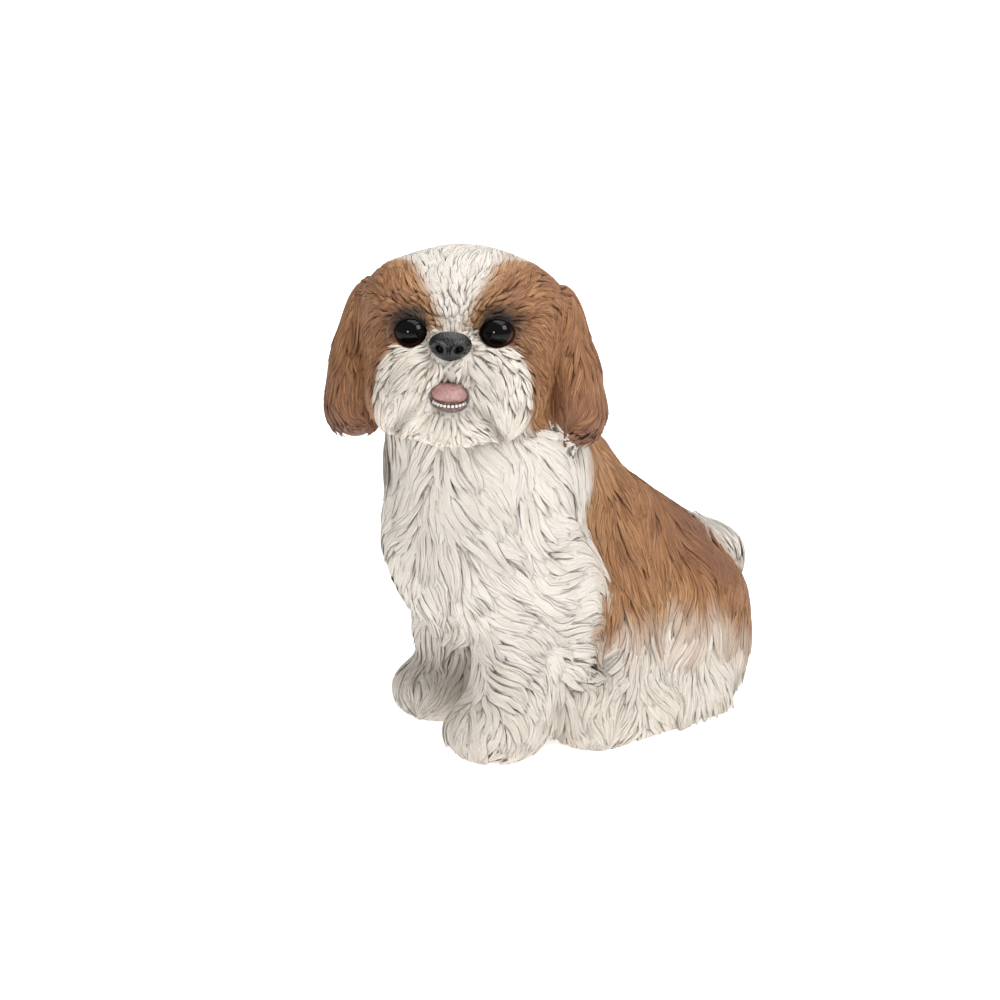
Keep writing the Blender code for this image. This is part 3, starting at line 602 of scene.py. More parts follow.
def bodyWay(points):
    # the chest parts to both sides of a line down its front, the back falls, and the feet fan outward
    x, y, z = points.T
    side = np.sign(x + 1e-6)
    azimuth = np.arctan2(x, -(y + 5.5))
    parting = azimuth - math.radians(22)
    tangent = np.stack([np.cos(azimuth), np.sin(azimuth), 0 * x], axis=1)
    band = smooth(z, 2.5, 6.5) * (1 - smooth(z, 11.0, 15.0))
    strength = mixed(0.5, 1.75, band) * np.where(parting > 0, 1.0, 0.5)
    chest = tangent * (np.tanh(parting * 1.8) * strength)[:, None] + straightDown
    towardsFoot = 0.55 * smooth(-z, -7.0, -3.5) * (1 - smooth(y, -1.5, 2.0))
    lean = -0.12 * (1 - smooth(y, 2.0, 5.0)) - 0.75 * smooth(y, 5.0, 8.5) * smooth(z, 3.5, 6.5)
    back = np.stack([0.2 * side * smooth(np.abs(x), 0, 4), lean - towardsFoot, -np.ones(len(x))], axis=1)
    way = mixed(unitRows(chest), unitRows(back), smooth(y, -2.8, -0.8)[:, None])
    step = np.where(x > 0, pawStep[1], pawStep[-1])
    onPaw = smooth(-z, -3.2, -2.0) * smooth(-y, 4.0, 5.0)
    way = mixed(way, fannedFrom(points, side * 3.15, -6.4 + step, 3.6), onPaw[:, None])
    onFoot = smooth(-z, -3.6, -2.4) * smooth(y, -4.4, -3.6) * (1 - smooth(y, 0.5, 2.4))
    way = mixed(way, fannedFrom(points, side * 4.6, -0.4 + 0 * side, 3.9), onFoot[:, None])
    return unitRows(mixed(way, tailWay(points), tailPatch(points)[:, None]))


def tailPatch(points):
    # where the tail's white hair spreads over the rump
    x, y, z = points.T
    return smooth(y, 8.7, 9.3) * smooth(z - 5.9 - 0.25 * np.maximum(x, 0), 0.0, 0.9)


def tailWay(points):
    # along the tail's first stretch, then its second
    rise = smooth(points[:, 2], 3.8, 6.6)[:, None]
    return unitRows((tailPath[1] - tailPath[0]) * (1 - rise) + (tailPath[2] - tailPath[1]) * rise)


def coatWay(points, groups):
    # each group's own lie
    ways = np.where((groups == headGroup)[:, None], headWay(points), bodyWay(points))
    ways = np.where(onEar(groups)[:, None], earWay(points), ways)
    return np.where((groups == tailGroup)[:, None], tailWay(points), ways)


# Skin
skinSettings = {"voxel": 0.17, "depth": 0.09, "floor": 0.03}
eyeHoles = {"half": 1.5, "ahead": 1.7}  # half the opening's depth, and its middle ahead of the eye's


def shapeSurface(shape, unit):
    # a ball's scaled sphere, or a limb's two half spheres with the side between them
    if "centre" in shape:
        return (unit * shape["radii"]) @ shape["axes"].T + shape["centre"]
    far = (unit @ (shape["end"] - shape["start"]) > 0)[:, None]
    return np.where(far, shape["end"] + unit * shape["ends"][1], shape["start"] + unit * shape["ends"][0])


def pointsOf(thing):
    # the points of a mesh, read in centimetres
    points = np.empty(len(thing.data.vertices) * 3, np.float32)
    thing.data.vertices.foreach_get("co", points)
    return unplaced(points.reshape(-1, 3).astype(float))


def movePoints(thing, points):
    # the points of a mesh, given in centimetres
    thing.data.vertices.foreach_set("co", placed(points).astype(np.float32).ravel())


def bake(thing):
    # the modifiers' result becomes the mesh
    bpy.context.view_layer.update()
    graph = bpy.context.evaluated_depsgraph_get()
    mesh = bpy.data.meshes.new_from_object(thing.evaluated_get(graph))
    thing.modifiers.clear()
    thing.data = mesh


def lidRadii(side, z):
    # half the width of the oval between the lids, and half its height, which differs above and below
    return lidSettings["wide"][side], np.where(z > 0, lidSettings["upper"], lidSettings["lower"])


def lidOval(local, side):
    # 1 on the oval between the lids, less inside
    x, _, z = (local - eyeAt(side)).T
    wide, high = lidRadii(side, z)
    return np.hypot(x / wide, z / high)


def cutHollows(thing):
    # the mouth's ball, and for each eye the oval of its lids carried from ahead of the face to the eyeball
    unit, loops, sizes = globe(20, 32)
    hollows = [unit * mouthHollow["radii"] + mouthHollow["at"]]
    for side in (1, -1):
        x, z = unit[:, 0::2].T / np.maximum(np.hypot(unit[:, 0], unit[:, 2]), 1e-6)
        wide, high = lidRadii(side, z)
        oval = np.stack([x * wide, unit[:, 1] * eyeHoles["half"] - eyeHoles["ahead"], z * high], axis=1)
        hollows.append(oval + eyeAt(side))
    points, loops, sizes = copies(hollows, loops, sizes)
    # the loops run backwards, so that the faces of the cutter look outward
    cutter = meshObject("cutter", headPoint(points), loops[::-1], sizes[::-1], paintedCoat)
    cut = thing.modifiers.new("cut", "BOOLEAN")
    cut.operation = "DIFFERENCE"
    cut.object = cutter
    cut.solver = "MANIFOLD"
    bake(thing)
    bpy.data.objects.remove(cutter, do_unlink=True)


def makeSkin():
    # all the shapes' surfaces made one by voxels, then settled under the field by the coat's depth
    unit, loops, sizes = globe(28, 48)
    surfaces = [shapeSurface(shape, unit) for flesh in fleshGroups.values() for shape in flesh]
    thing = meshObject("skin", *copies(surfaces, loops, sizes), paintedCoat)
    remesh = thing.modifiers.new("remesh", "REMESH")
    remesh.mode = "VOXEL"
    remesh.voxel_size = skinSettings["voxel"] * metre
    bake(thing)
    movePoints(thing, settled(pointsOf(thing), -skinSettings["depth"], 4))
    cutHollows(thing)
    points = pointsOf(thing)
    points[:, 2] = np.maximum(points[:, 2], skinSettings["floor"])
    movePoints(thing, points)
    thing.data.polygons.foreach_set("use_smooth", np.ones(len(thing.data.polygons), bool))
    return thing, points


def paintSkin(thing, points):
    # the coat's own markings, and dark in the hollows of the mouth and the eyes
    brown, dark, tone = markings(points, groupOf(points))
    local = headLocal(points)
    inHollow = 0.8 * (1 - smooth(shapeDistance(mouthBall, points), 0.02, 0.10))
    for side in (1, -1):
        inHollow = np.maximum(inHollow, (lidOval(local, side) < 1.03) * (local[:, 1] < eyeAt(side)[1]))
    coat = np.stack([brown, np.maximum(dark, inHollow), 0.05 + 0 * brown, 1 + 0 * brown], axis=1)
    givePoints(thing, "coat", "FLOAT_COLOR", "color", coat)
    givePoints(thing, "tone", "FLOAT", "value", tone)
    x, y, z = points.T
    givePoints(thing, "strand", "FLOAT_VECTOR", "vector", np.stack([x + y, z, 0 * z], axis=1))


skin, skinPoints = makeSkin()
paintSkin(skin, skinPoints)
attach(skin, "root")
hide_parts("head", "neck", "chest", "torso", "tail", "foreleg_left", "foreleg_right",
            "hindleg_left", "hindleg_right", "ear_left", "ear_right")
print("skin made:", len(skinPoints), "points")


# Roots of the coat
def strewn(count):
    # points spread over the skin by area
    skin.data.calc_loop_triangles()
    corners = np.empty(len(skin.data.loop_triangles) * 3, np.int32)
    skin.data.loop_triangles.foreach_get("vertices", corners)
    a, b, c = (skinPoints[corner] for corner in corners.reshape(-1, 3).T)
    area = np.linalg.norm(np.cross(b - a, c - a), axis=1)
    chosen = chance.choice(len(area), count, p=area / area.sum())
    u, v = chance.random(count), chance.random(count)
    flip = u + v > 1
    u, v = np.where(flip, 1 - u, u), np.where(flip, 1 - v, v)
    return a[chosen] + (b - a)[chosen] * u[:, None] + (c - a)[chosen] * v[:, None]


def thinnedIndex(points, spacing):
    # the first point in each cell of a cubic grid, with a grid of its own for each spacing
    cells = np.floor(points / spacing[:, None]).astype(np.int64)
    most = 4096  # cells along a side
    keys = cells @ np.array((1, most, most**2)) + (spacing * 1e4).astype(np.int64) * 10**12
    _, first = np.unique(keys, return_index=True)
    return np.sort(first)


# Each region's locks: spacing of the roots and of the clumps they gather in, length, half width, half
# thickness, how far the tip rises, how much the lie waves, how far tips draw together, how far the colour
# is the root's own, and how much painted shade (above 0) or painted light (below 0) is added to the wash
regionFields = ("spacing", "clump", "length", "width", "thick", "lift", "wave", "pull", "byRoot", "washAndShade")
coatRegions = {
    "face": (0.24, 0.60, 1.15, 0.155, 0.030, 0.04, 0.22, 0.25, 0.35, 0.0),
    "muzzle": (0.25, 0.80, 2.0, 0.165, 0.034, 0.10, 0.30, 0.50, 1.0, 0.70),
    "crown": (0.31, 0.90, 2.2, 0.21, 0.032, 0.035, 0.26, 0.25, 0.35, -0.40),
    "ears": (0.33, 1.0, 2.3, 0.20, 0.040, 0.07, 0.36, 0.22, 0.35, 0.0),
    "chest": (0.40, 1.35, 2.9, 0.25, 0.040, 0.15, 0.66, 0.58, 0.85, 0.0),
    "back": (0.42, 1.10, 3.0, 0.25, 0.034, 0.045, 0.40, 0.35, 0.55, 0.0),
    "legs": (0.39, 1.15, 2.4, 0.23, 0.038, 0.14, 0.64, 0.55, 0.35, 0.0),
    "feet": (0.37, 0.70, 1.5, 0.19, 0.036, 0.05, 0.20, 0.45, 0.35, 0.0),
    "tail": (0.38, 1.00, 2.4, 0.22, 0.038, 0.08, 0.25, 0.45, 0.35, -0.95),
}
regionNames = list(coatRegions)
regionTable = np.array(list(coatRegions.values()))
brownRegions = ("face", "crown", "ears", "back")


def regionValues(name, regions):
    # one field of the table for each lock
    return regionTable[regions, regionFields.index(name)]


def regionOf(points, groups):
    # the number of each point's region, by its place in the table
    local = headLocal(points)
    y, z = local[:, 1], local[:, 2]
    px, py, pz = points.T
    face, muzzle, crown, ears, chest, back, legs, feet, tail = range(len(regionNames))
    onMuzzle = (muzzleGap(local) < 1.0) & (y < -2.2)
    onChin = (z < -3.6) & (y < 0.5)
    onFace = (y < -1.2) & (z < 3.4)
    onFeet = (pz < 2.3) & ((py < -4.0) | (np.abs(px) > 3.0))
    onLegs = (pz < 7.2) & (py < -1.8)
    onHead = np.select([onMuzzle | onChin, onFace], [muzzle, face], crown)
    onBody = np.select([onFeet, onLegs, py < -2.2], [feet, legs, chest], back)
    places = [groups == headGroup, onEar(groups), groups == tailGroup]
    return np.select(places, [onHead, ears, tail], onBody)


# a lock's cross-section from one edge to the other over three ridges; its underside is flat
lockAcross = np.array((-1.0, -0.66, -0.33, 0.0, 0.35, 0.68, 1.0))
lockHeight = np.array((-0.35, 0.74, 0.46, 1.0, 0.44, 0.72, -0.35))
lockGroove = np.array((0.7, 0.05, 0.6, 0.0, 0.6, 0.05, 0.7))
lockEnds = {"tip": 0.04, "floor": 0.02}  # how far the tip is beyond the last ring; the lowest point
lockRings = 8
lockShares = np.linspace(0, 1, lockRings)


def clumpNoise(points, size, seed):
    # one random vector for each cell of a coarse grid, so neighbours are alike
    cells = np.floor(points / size + 0.13)
    mix = np.array(((12.99, 78.23, 37.72), (39.35, 11.13, 83.16), (73.15, 52.24, 9.15))) + seed
    return np.mod(np.sin(cells @ mix) * 43758.5, 1.0) * 2 - 1


def lockPaths(roots, groups, value, size, lean):
    # even steps along the waving lie, held at a height that rises to the tip; past the share that follows
    # the flesh a lock drapes: it turns down a little with each step and is only kept out of the flesh
    points = settled(roots, -skinSettings["depth"])
    normal = outward(points)
    way = coatWay(points, groups)
    step = value["length"] * size / (lockRings - 1)
    paths, normals = [points], [normal]
    for share in lockShares[1:]:
        wanted = coatWay(points, groups)
        across = unitRows(np.cross(normal, wanted))
        bend = lean + value["wave"] * (swirl(points, 2.4, 5) + 0.5 * swirl(points, 1.1, 6))[:, None]
        wanted = unitRows(wanted + across * bend)
        wanted = unitRows(wanted - normal * np.sum(wanted * normal, axis=1, keepdims=True))
        follows = share <= value["free"]
        way = np.where(follows, wanted, unitRows(way + np.array((0, 0, -0.3))))
        points = points + way * step
        normal = outward(points)
        rise = (0.10 + 0.35 * value["lift"]) * np.minimum(1.0, 3.0 * share)
        rise = rise + 0.65 * value["lift"] * share**2
        height = rise - skinSettings["depth"]
        gap = wholeField(points)[:, None] - height
        points = points - normal * np.where(follows, gap, np.minimum(gap, 0))
        paths.append(points)
        normals.append(normal)
    return np.stack(paths, axis=1), np.stack(normals, axis=1)


def nearestGuides(roots, regions, groups):
    # each root's clump: the nearest root of a sparser set in the same region
    spot = np.concatenate([roots, (regions * 40.0 + groups * 400.0)[:, None]], axis=1)
    guides = thinnedIndex(roots + 0.37, regionValues("clump", regions))
    chosen = [
        guides[np.argmin(((part[:, None] - spot[guides][None]) ** 2).sum(axis=2), axis=1)]
        for part in np.array_split(spot, 40)
    ]
    return np.concatenate(chosen)


def trimmed(paths, blocked):
    # a path that meets the eye, nose or mouth ends one ring before it
    first = np.where(blocked.any(axis=1), blocked.argmax(axis=1), lockRings)
    share = np.clip((first - 1) / (lockRings - 1), 0, 1)
    place = lockShares[None] * share[:, None] * (lockRings - 1)
    low = np.minimum(place.astype(int), lockRings - 2)
    part = (place - low)[..., None]
    rows = np.arange(len(paths))[:, None]
    return paths[rows, low] * (1 - part) + paths[rows, low + 1] * part, share


def mouthGap(local):
    # 1 on the edge of the open mouth, whose upper half is flatter than its lower one
    x, _, z = (local - lipSettings["at"]).T
    high = np.where(z > 0, lipSettings["upper"], lipSettings["lower"])
    return np.hypot(x / lipSettings["wide"], z / high)


def blockedBy(paths):
    # inside the nose, or ahead of the open mouth or an eye
    flat = paths.reshape(-1, 3)
    local = headLocal(flat)
    y = local[:, 1]
    blocked = shapeDistance(noseBall, flat) < -0.06
    blocked |= (mouthGap(local) < np.where(local[:, 2] > -2.0, 0.84, 0.97)) & (y < -4.0)
    for side in (1, -1):
        blocked |= (lidOval(local, side) < 1.02) & (y < -3.0)
    return blocked.reshape(paths.shape[:2])


def hanging(roots, groups):
    # how far a lock hangs free instead of following the flesh: low on the ears, breast and haunches
    _, y, z = roots.T
    ear = 0.12 * smooth(-headLocal(roots)[:, 2], 2.4, 3.6)
    haunch = 0.5 * smooth(-z, -4.2, -2.4) * smooth(y, 0.5, 2.5)
    breast = 0.4 * smooth(-z, -10.5, -8.5) * smooth(z, 6.5, 7.5) * (y < -7.5)
    return np.select([onEar(groups), groups == bodyGroup], [ear, np.maximum(haunch, breast)], 0.0)[:, None]


def roomBelow(roots, groups):
    # the longest that a lock may be before it passes the bottom of the ear or beard, the floor or the tail
    local = headLocal(roots)
    x, y, low = np.abs(local[:, 0]), local[:, 1], local[:, 2]
    inMuzzle = muzzleGap(local)
    scallop = 0.16 * clumpNoise(roots, 0.7, 5.0)[:, 0]
    rounded = 0.4 * np.abs((x - 5.4) / 1.7).clip(0, 1) ** 2 + 0.3 * np.abs((y - 0.7) / 2.4).clip(0, 1) ** 2
    ear = low + (4.95 + scallop - rounded)
    beard = np.where(low < -1.5, low + 4.85 - 0.55 * smooth(y, -3.2, -2.0), 9.0)
    edge = np.where((low > -2.4) & (y < -1.5) & (inMuzzle < 1.0), 3.6 * (1.08 - inMuzzle), 9.0)
    beard = np.minimum(beard, np.maximum(edge, 0.75))
    tail = (tailPath[2] - roots) @ unitRows(tailPath[2] - tailPath[1]) + 0.4
    places = [onEar(groups), groups == headGroup, groups == tailGroup]
    return np.select(places, [ear, beard, tail], 1.25 * roots[:, 2] + 0.25).clip(0.5, 9)[:, None]


def lengthByPlace(roots, groups):
    # short hair over the nose and chin, long on the lobes of the moustache
    local = headLocal(roots)
    x, y, z = np.abs(local[:, 0]), local[:, 1], local[:, 2]
    inMuzzle = muzzleGap(local)
    head = groups == headGroup
    front = head * (y < -1.0)
    nearNose = front * smooth(z, -0.7, 0.4) * (1 - smooth(x, 1.4, 2.8)) * (1 - smooth(z, 1.2, 3.0))
    chin = front * smooth(-z, 3.0, 3.6) * (1 - smooth(x, 1.5, 2.2))
    upperEdge = smooth(inMuzzle, 0.62, 0.85) * (1 - smooth(inMuzzle, 1.0, 1.1)) * smooth(z, -2.4, -1.2)
    under = head * smooth(-z, 4.0, 4.4)
    overMouth = front * (1 - smooth(x, 0.8, 1.5)) * smooth(-z, 0.3, 0.8) * (1 - smooth(-z, 1.8, 2.3))
    share = (1 - 0.62 * nearNose) * (1 - 0.35 * chin) * (1 - 0.3 * front * upperEdge)
    return share * (1 - 0.4 * under) * (1 - 0.6 * overMouth)


def isBare(roots, groups, paths):
    # no lock under the ears' and the beard's round ends, where an ear lies on the neck, or where a path
    # turns back on itself
    _, y, z = headLocal(roots).T
    bare = onEar(groups) & ((z < -4.62) | (field(bodyFlesh, roots) < 0.3))
    bare |= (groups == headGroup) & (z < -4.4 - 0.3 * (y < -3.2))
    travelled = np.linalg.norm(np.diff(paths, axis=1), axis=2).sum(axis=1)
    return bare | (np.linalg.norm(paths[:, -1] - paths[:, 0], axis=1) < 0.4 * travelled)


def growLocks(roots, groups, regions):
    # paths drawn together into clumps, cut clear of the face's features, and given a ridged section
    count = len(roots)
    names = ("length", "width", "thick", "lift", "wave", "pull", "clump")
    value = {name: regionValues(name, regions)[:, None] for name in names}
    guides = nearestGuides(roots, regions, groups)
    draw = chance.normal(size=(count, 4))
    clumpDraw = draw[guides]
    size = np.clip(1 + 0.10 * draw[:, :1] + 0.12 * clumpDraw[:, 1:2], 0.6, 1.45)
    size = size * lengthByPlace(roots, groups)[:, None]
    size = np.minimum(size, roomBelow(roots, groups) / value["length"])
    value["free"] = mixed(1.0, 0.25, hanging(roots, groups))
    # white locks are flatter and lie closer, most of all on the crown
    white = 1 - markings(roots, groups)[0][:, None]
    onCrown = (regions == regionNames.index("crown"))[:, None]
    value["thick"] = value["thick"] * (1 - white * (0.25 + 0.25 * onCrown))
    rise = np.clip(1 + 0.5 * clumpDraw[:, 2:3] + 0.2 * draw[:, 2:3], 0.2, 2.2)
    value["lift"] = value["lift"] * rise * (1 - 0.2 * white)
    lean = 0.05 * draw[:, 3:4] + 0.08 * clumpDraw[:, 3:4]
    paths, normals = lockPaths(roots, groups, value, size, lean)
    apart = np.linalg.norm(roots - roots[guides], axis=1)[:, None] / value["clump"]
    pull = (value["pull"] * (1 - smooth(apart, 0.9, 1.5)) * lockShares[None] ** 1.3)[..., None]
    paths = paths + (paths[guides] - paths) * pull
    paths, share = trimmed(paths, blockedBy(paths))
    along = unitRows(np.gradient(paths, axis=1))
    side = unitRows(np.cross(normals, along))
    up = np.cross(along, side)
    roll = (0.12 * clumpDraw[:, 2:3] + 0.06 * draw[:, 1:2])[..., None]
    side, up = side * np.cos(roll) + up * np.sin(roll), up * np.cos(roll) - side * np.sin(roll)
    s = lockShares[None]
    broad = np.maximum(size, 0.70) * np.sqrt(share)[:, None]
    half = value["width"] * broad * (0.55 + 1.4 * s - 1.3 * s**2) * (1 - 0.85 * s**5)
    body = value["thick"] * broad * (1 - 0.6 * s)
    rings = (paths[:, :, None] + side[:, :, None] * (half[..., None] * lockAcross)[..., None]
             + up[:, :, None] * (body[..., None] * lockHeight)[..., None])
    return rings, size[:, 0], (share > 0.25) & ~isBare(roots, groups, paths)


# The coat's map: each group's centre, pole, the middle of its disc and the disc's size
unwrapTable = (
    (headCentre, headAxes @ (0, -1, 0), (0.24, 0.74), 0.115),
    (headPoint((5.6, 0.8, -1)), headAxes @ (1, 0, 0), (0.10, 0.10), 0.045),
    (headPoint((-5.3, 0.8, -1)), headAxes @ (-1, 0, 0), (0.32, 0.10), 0.045),
    ((0, 0.5, 8.0), (0, 0, 1.0), (0.72, 0.62), 0.135),
    (tailPath[1], (0, 1.0, 0), (0.10, 0.36), 0.045),
)
patchHalf = 0.0014  # half the width of a lock's patch on the map


def unwrapped(points, groups):
    # equal-area discs: the direction from a group's centre, with its pole at the disc's middle
    centres, poles, middles, spans = (np.array(column) for column in zip(*unwrapTable))
    direction = unitRows(points - centres[groups])
    pole = poles[groups]
    first = unitRows(np.cross(pole, np.array((0.3, 0.2, 0.93)) + 0 * pole))
    second = np.cross(pole, first)
    forward = np.sum(direction * pole, axis=1)
    stretch = np.sqrt(2 / (1 + np.clip(forward, -0.98, 1)))
    flat = np.stack([np.sum(direction * first, axis=1), np.sum(direction * second, axis=1)], axis=1)
    return middles[groups] + flat * (stretch * spans[groups])[:, None]


def lockFaces(rows, columns):
    # quads round the rings, a fan to the tip, and one face over the root
    quads = gridLoops(rows, columns)
    ring = np.arange(columns)
    last = (rows - 1) * columns
    fan = np.stack([last + ring, last + (ring + 1) % columns, np.full(columns, rows * columns)], axis=1)
    loops = np.concatenate([quads.ravel(), fan.ravel(), ring[::-1]])
    return loops, np.concatenate([np.full(len(quads), 4), np.full(columns, 3), [columns]])


def paintLocks(thing, region, points, roots, groups, width, length):
    # colour by the root's markings and the point's own, wash in the grooves, painted shade low on the body,
    # each region's painted shade or painted light, and a tint for each clump
    count, perLock = points.shape[:2]
    flat, owner = points.reshape(-1, 3), np.repeat(np.arange(count), perLock)
    along = np.append(np.repeat(lockShares, len(lockAcross)), 1.0)[None]
    over = np.append(np.tile(lockAcross, lockRings), 0.0)[None]
    groove = np.append(np.tile(lockGroove, lockRings), 0.1)[None]
    byRoot, regionLightAndShade = (regionValues(name, regionNames.index(region)) for name in ("byRoot", "washAndShade"))
    rootBrown, rootDark, rootTone = (value[owner] for value in markings(roots, groups))
    brown, dark, tone = markings(flat, groups[owner])
    tint = clumpNoise(roots, 1.15, 3.0)[:, 0] * 0.18 + chance.normal(0, 0.10, count)
    washAndShade = np.clip(groove * 0.75 + 0.45 * (1 - along * 2.2).clip(0, 1) - 0.1 * along, 0, 1)
    # painted shade: the body's coat is darker towards the floor, and each region adds painted shade, or
    # painted light where its value is below 0
    paintedShadeAndLight = 0.65 * (1 - smooth(flat[:, 2], 0.5, 7.5)) * (groups[owner] == bodyGroup) + regionLightAndShade
    washAndShade = np.broadcast_to(washAndShade, (count, perLock)).ravel() + tint[owner] * 0.4 + paintedShadeAndLight
    brown = np.clip(byRoot * rootBrown + (1 - byRoot) * brown, 0, 1)
    dark = 0.3 * rootDark + 0.7 * dark
    coat = np.stack([brown, dark, np.clip(washAndShade, 0, 1), 1 + 0 * dark], axis=1)
    givePoints(thing, "coat", "FLOAT_COLOR", "color", coat)
    givePoints(thing, "tone", "FLOAT", "value", 0.5 * rootTone + 0.5 * tone + tint[owner])
    across = over * width[:, None]
    number = chance.uniform(0, 60, count)[:, None] + 0 * across
    strand = np.stack([across + number, along * length[:, None], number], axis=-1)
    givePoints(thing, "strand", "FLOAT_VECTOR", "vector", strand)
    patch = np.stack([over, along * 2 - 1], axis=-1) * patchHalf
    return unwrapped(roots, groups)[owner] + np.tile(patch[0], (count, 1))


def coatPiece(name, region, rings, roots, groups, width, length):
    # locks joined as one mesh: each one's rings and its tip, which lies a little beyond the last ring
    count = len(rings)
    last, before = rings[:, -1].mean(axis=1), rings[:, -2].mean(axis=1)
    tips = last + unitRows(last - before) * lockEnds["tip"]
    points = np.concatenate([rings.reshape(count, -1, 3), tips[:, None]], axis=1)
    points[:, :, 2] = np.maximum(points[:, :, 2], lockEnds["floor"])
    flat, loops, sizes = copies(points, *lockFaces(*rings.shape[1:3]))
    thing = meshObject(name, flat, loops, sizes, paintedCoat)
    uv = paintLocks(thing, region, points, roots, groups, width, length)
    layer = thing.data.uv_layers.new(name="OFBake")
    layer.uv.foreach_set("vector", uv[loops].astype(np.float32).ravel())
    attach(thing, "root")
    "brown_coat" if region in brownRegions else "white_coat"


coatSettings = {
    "strewn": 90000,
    "mostLocks": 1800,  # in a piece, so that it stays under 200,000 triangles
    "lowestRoot": 0.25,
    "clearOfMouth": 0.12,
    "undersideTop": 3.0,  # below this height, roots that face down more than this slope are left out
    "undersideSlope": -0.75,
}


def rootsOfCoat():
    # strewn points thinned to each region's spacing, none in the mouth, on the floor or under the body
    s = coatSettings
    points = strewn(s["strewn"])
    spacing = regionValues("spacing", regionOf(points, groupOf(points)))
    points = points[thinnedIndex(points, spacing)]
    clear = (points[:, 2] > s["lowestRoot"]) & (shapeDistance(mouthBall, points) > s["clearOfMouth"])
    points = points[clear]
    return points[(points[:, 2] > s["undersideTop"]) | (outward(points)[:, 2] > s["undersideSlope"])]


def makeCoat():
    # each region's locks, in pieces of at most mostLocks
    mostLocks = coatSettings["mostLocks"]
    roots = rootsOfCoat()
    groups = groupOf(roots)
    regions = regionOf(roots, groups)
    rings, size, isKept = growLocks(roots, groups, regions)
    print("locks grown:", len(roots), "kept", int(isKept.sum()))
    width, length = (regionValues(name, regions) * size for name in ("width", "length"))
    for index, region in enumerate(regionNames):
        members = np.flatnonzero((regions == index) & isKept)
        for part, start in enumerate(range(0, len(members), mostLocks)):
            chosen = members[start:start + mostLocks]
            coatPiece(f"{region}Coat{part + 1}", region,
                      *(values[chosen] for values in (rings, roots, groups, width, length)))
        print(region, "coat:", len(members), "locks")


makeCoat()


# Eyes
eyePaint = {"pupil": (0.003, 0.003, 0.003), "iris": (0.070, 0.020, 0.007), "rough": 0.04, "specular": 0.20}
sideNames = {1: "left", -1: "right"}


def eyeMaterial(name, side):
    # rings about the eye's own axis: a wide pupil, a brown iris that shows below, then a black rim
    finish = Finish(name)
    offset = finish.vector("SUBTRACT", finish.place(), tuple(placed(headPoint(eyeAt(side)))))
    perRadius = 1 / (eyeSettings["radius"] * metre)
    axis = headAxes @ unitRows(np.array((side * 0.06, -1.0, 0.08)))
    down = headAxes @ np.array((side * 0.45, 0.0, -0.9))
    height, lower = (
        finish.vector("DOT_PRODUCT", offset, tuple(way), output=1) * perRadius for way in (axis, down)
    )
    iris = height.between(0.79, 0.72) * height.between(0.55, 0.62)
    iris = iris * (lower.between(-0.1, 0.55) * 0.92 + 0.08)
    finish.set("Base Color", finish.mixColours(eyePaint["pupil"], eyePaint["iris"], iris.clamped()))
    finish.set("Roughness", eyePaint["rough"])
    finish.set("Specular IOR Level", eyePaint["specular"])
    return finish.material


def makeEyes():
    # a glossy ball in each socket
    for side, sideName in sideNames.items():
        points, loops, sizes = globe(40, 64)
        points = headPoint(points * eyeSettings["radius"] + eyeAt(side))
        material = eyeMaterial(f"black glass eye {sideName}", side)
        eyeball = meshObject(f"eyeball_{sideName}", points, loops, sizes, material)
        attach(eyeball, "root")
        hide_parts(f"eye_{sideName}")


# Lids: a thin dark rim round each eye, lower over its top
def lidMaterial():
    # two near blacks mixed by a fine grain
    finish = Finish("dark eyelid")
    grain = finish.noise(finish.place(), 900.0)
    finish.set("Base Color", finish.mixColours((0.006, 0.004, 0.003), (0.020, 0.012, 0.009), grain))
    finish.set("Roughness", 0.6)
    finish.set("Specular IOR Level", 0.2)
    finish.bump(grain, 0.2, 0.0003)
    return finish.material


def closedTube(path, normals, across, thick, sides=10):
    # a closed loop of rings: each point of the path plus thick times (across cos + normal sin)
    section = turnAngles(sides)[None, :, None]
    around = across[:, None] * np.cos(section) + normals[:, None] * np.sin(section)
    thick = np.broadcast_to(thick, len(path))[:, None, None]
    points = (path[:, None] + around * thick).reshape(-1, 3)
    ring, column = np.arange(len(path))[:, None], np.arange(sides)[None]
    here, following = ring * sides, (ring + 1) % len(path) * sides
    beside = (column + 1) % sides
    corners = [here + column, following + column, following + beside, here + beside]
    faces = np.stack(corners, axis=-1).reshape(-1, 4)
    return points, faces.ravel(), np.full(len(faces), 4)


def alongLoop(path):
    # from the point before to the point after, round a closed path
    return np.roll(path, -1, axis=0) - np.roll(path, 1, axis=0)


def makeLids():
    # an oval just clear of the eyeball: y is the root of what x and z leave of the lid's squared radius
    around = turnAngles(56)
    radiusSquared = 1.10
    material = lidMaterial()
    for side, sideName in sideNames.items():
        wide, high = lidRadii(side, np.sin(around))
        x, z = wide * np.cos(around), high * np.sin(around)
        path = np.stack([x, -np.sqrt(np.maximum(radiusSquared - x * x - z * z, 0.02)), z], axis=1)
        normals = unitRows(path)
        across = unitRows(np.cross(alongLoop(path), normals))
        thick = lidSettings["thick"] * (1 + 0.25 * np.sin(around))
        points, loops, sizes = closedTube(path, normals, across, thick)
        points = points * (side, 1, 1) * eyeSettings["radius"] + eyeAt(side)
        # the right eye is a mirror image, so its faces run the other way
        loops = loops if side > 0 else loops.reshape(-1, 4)[:, ::-1].ravel()
        lid = meshObject(f"lids_{sideName}", headPoint(points), loops, sizes, material)
        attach(lid, "root")


makeEyes()
makeLids()
print("eyes set")


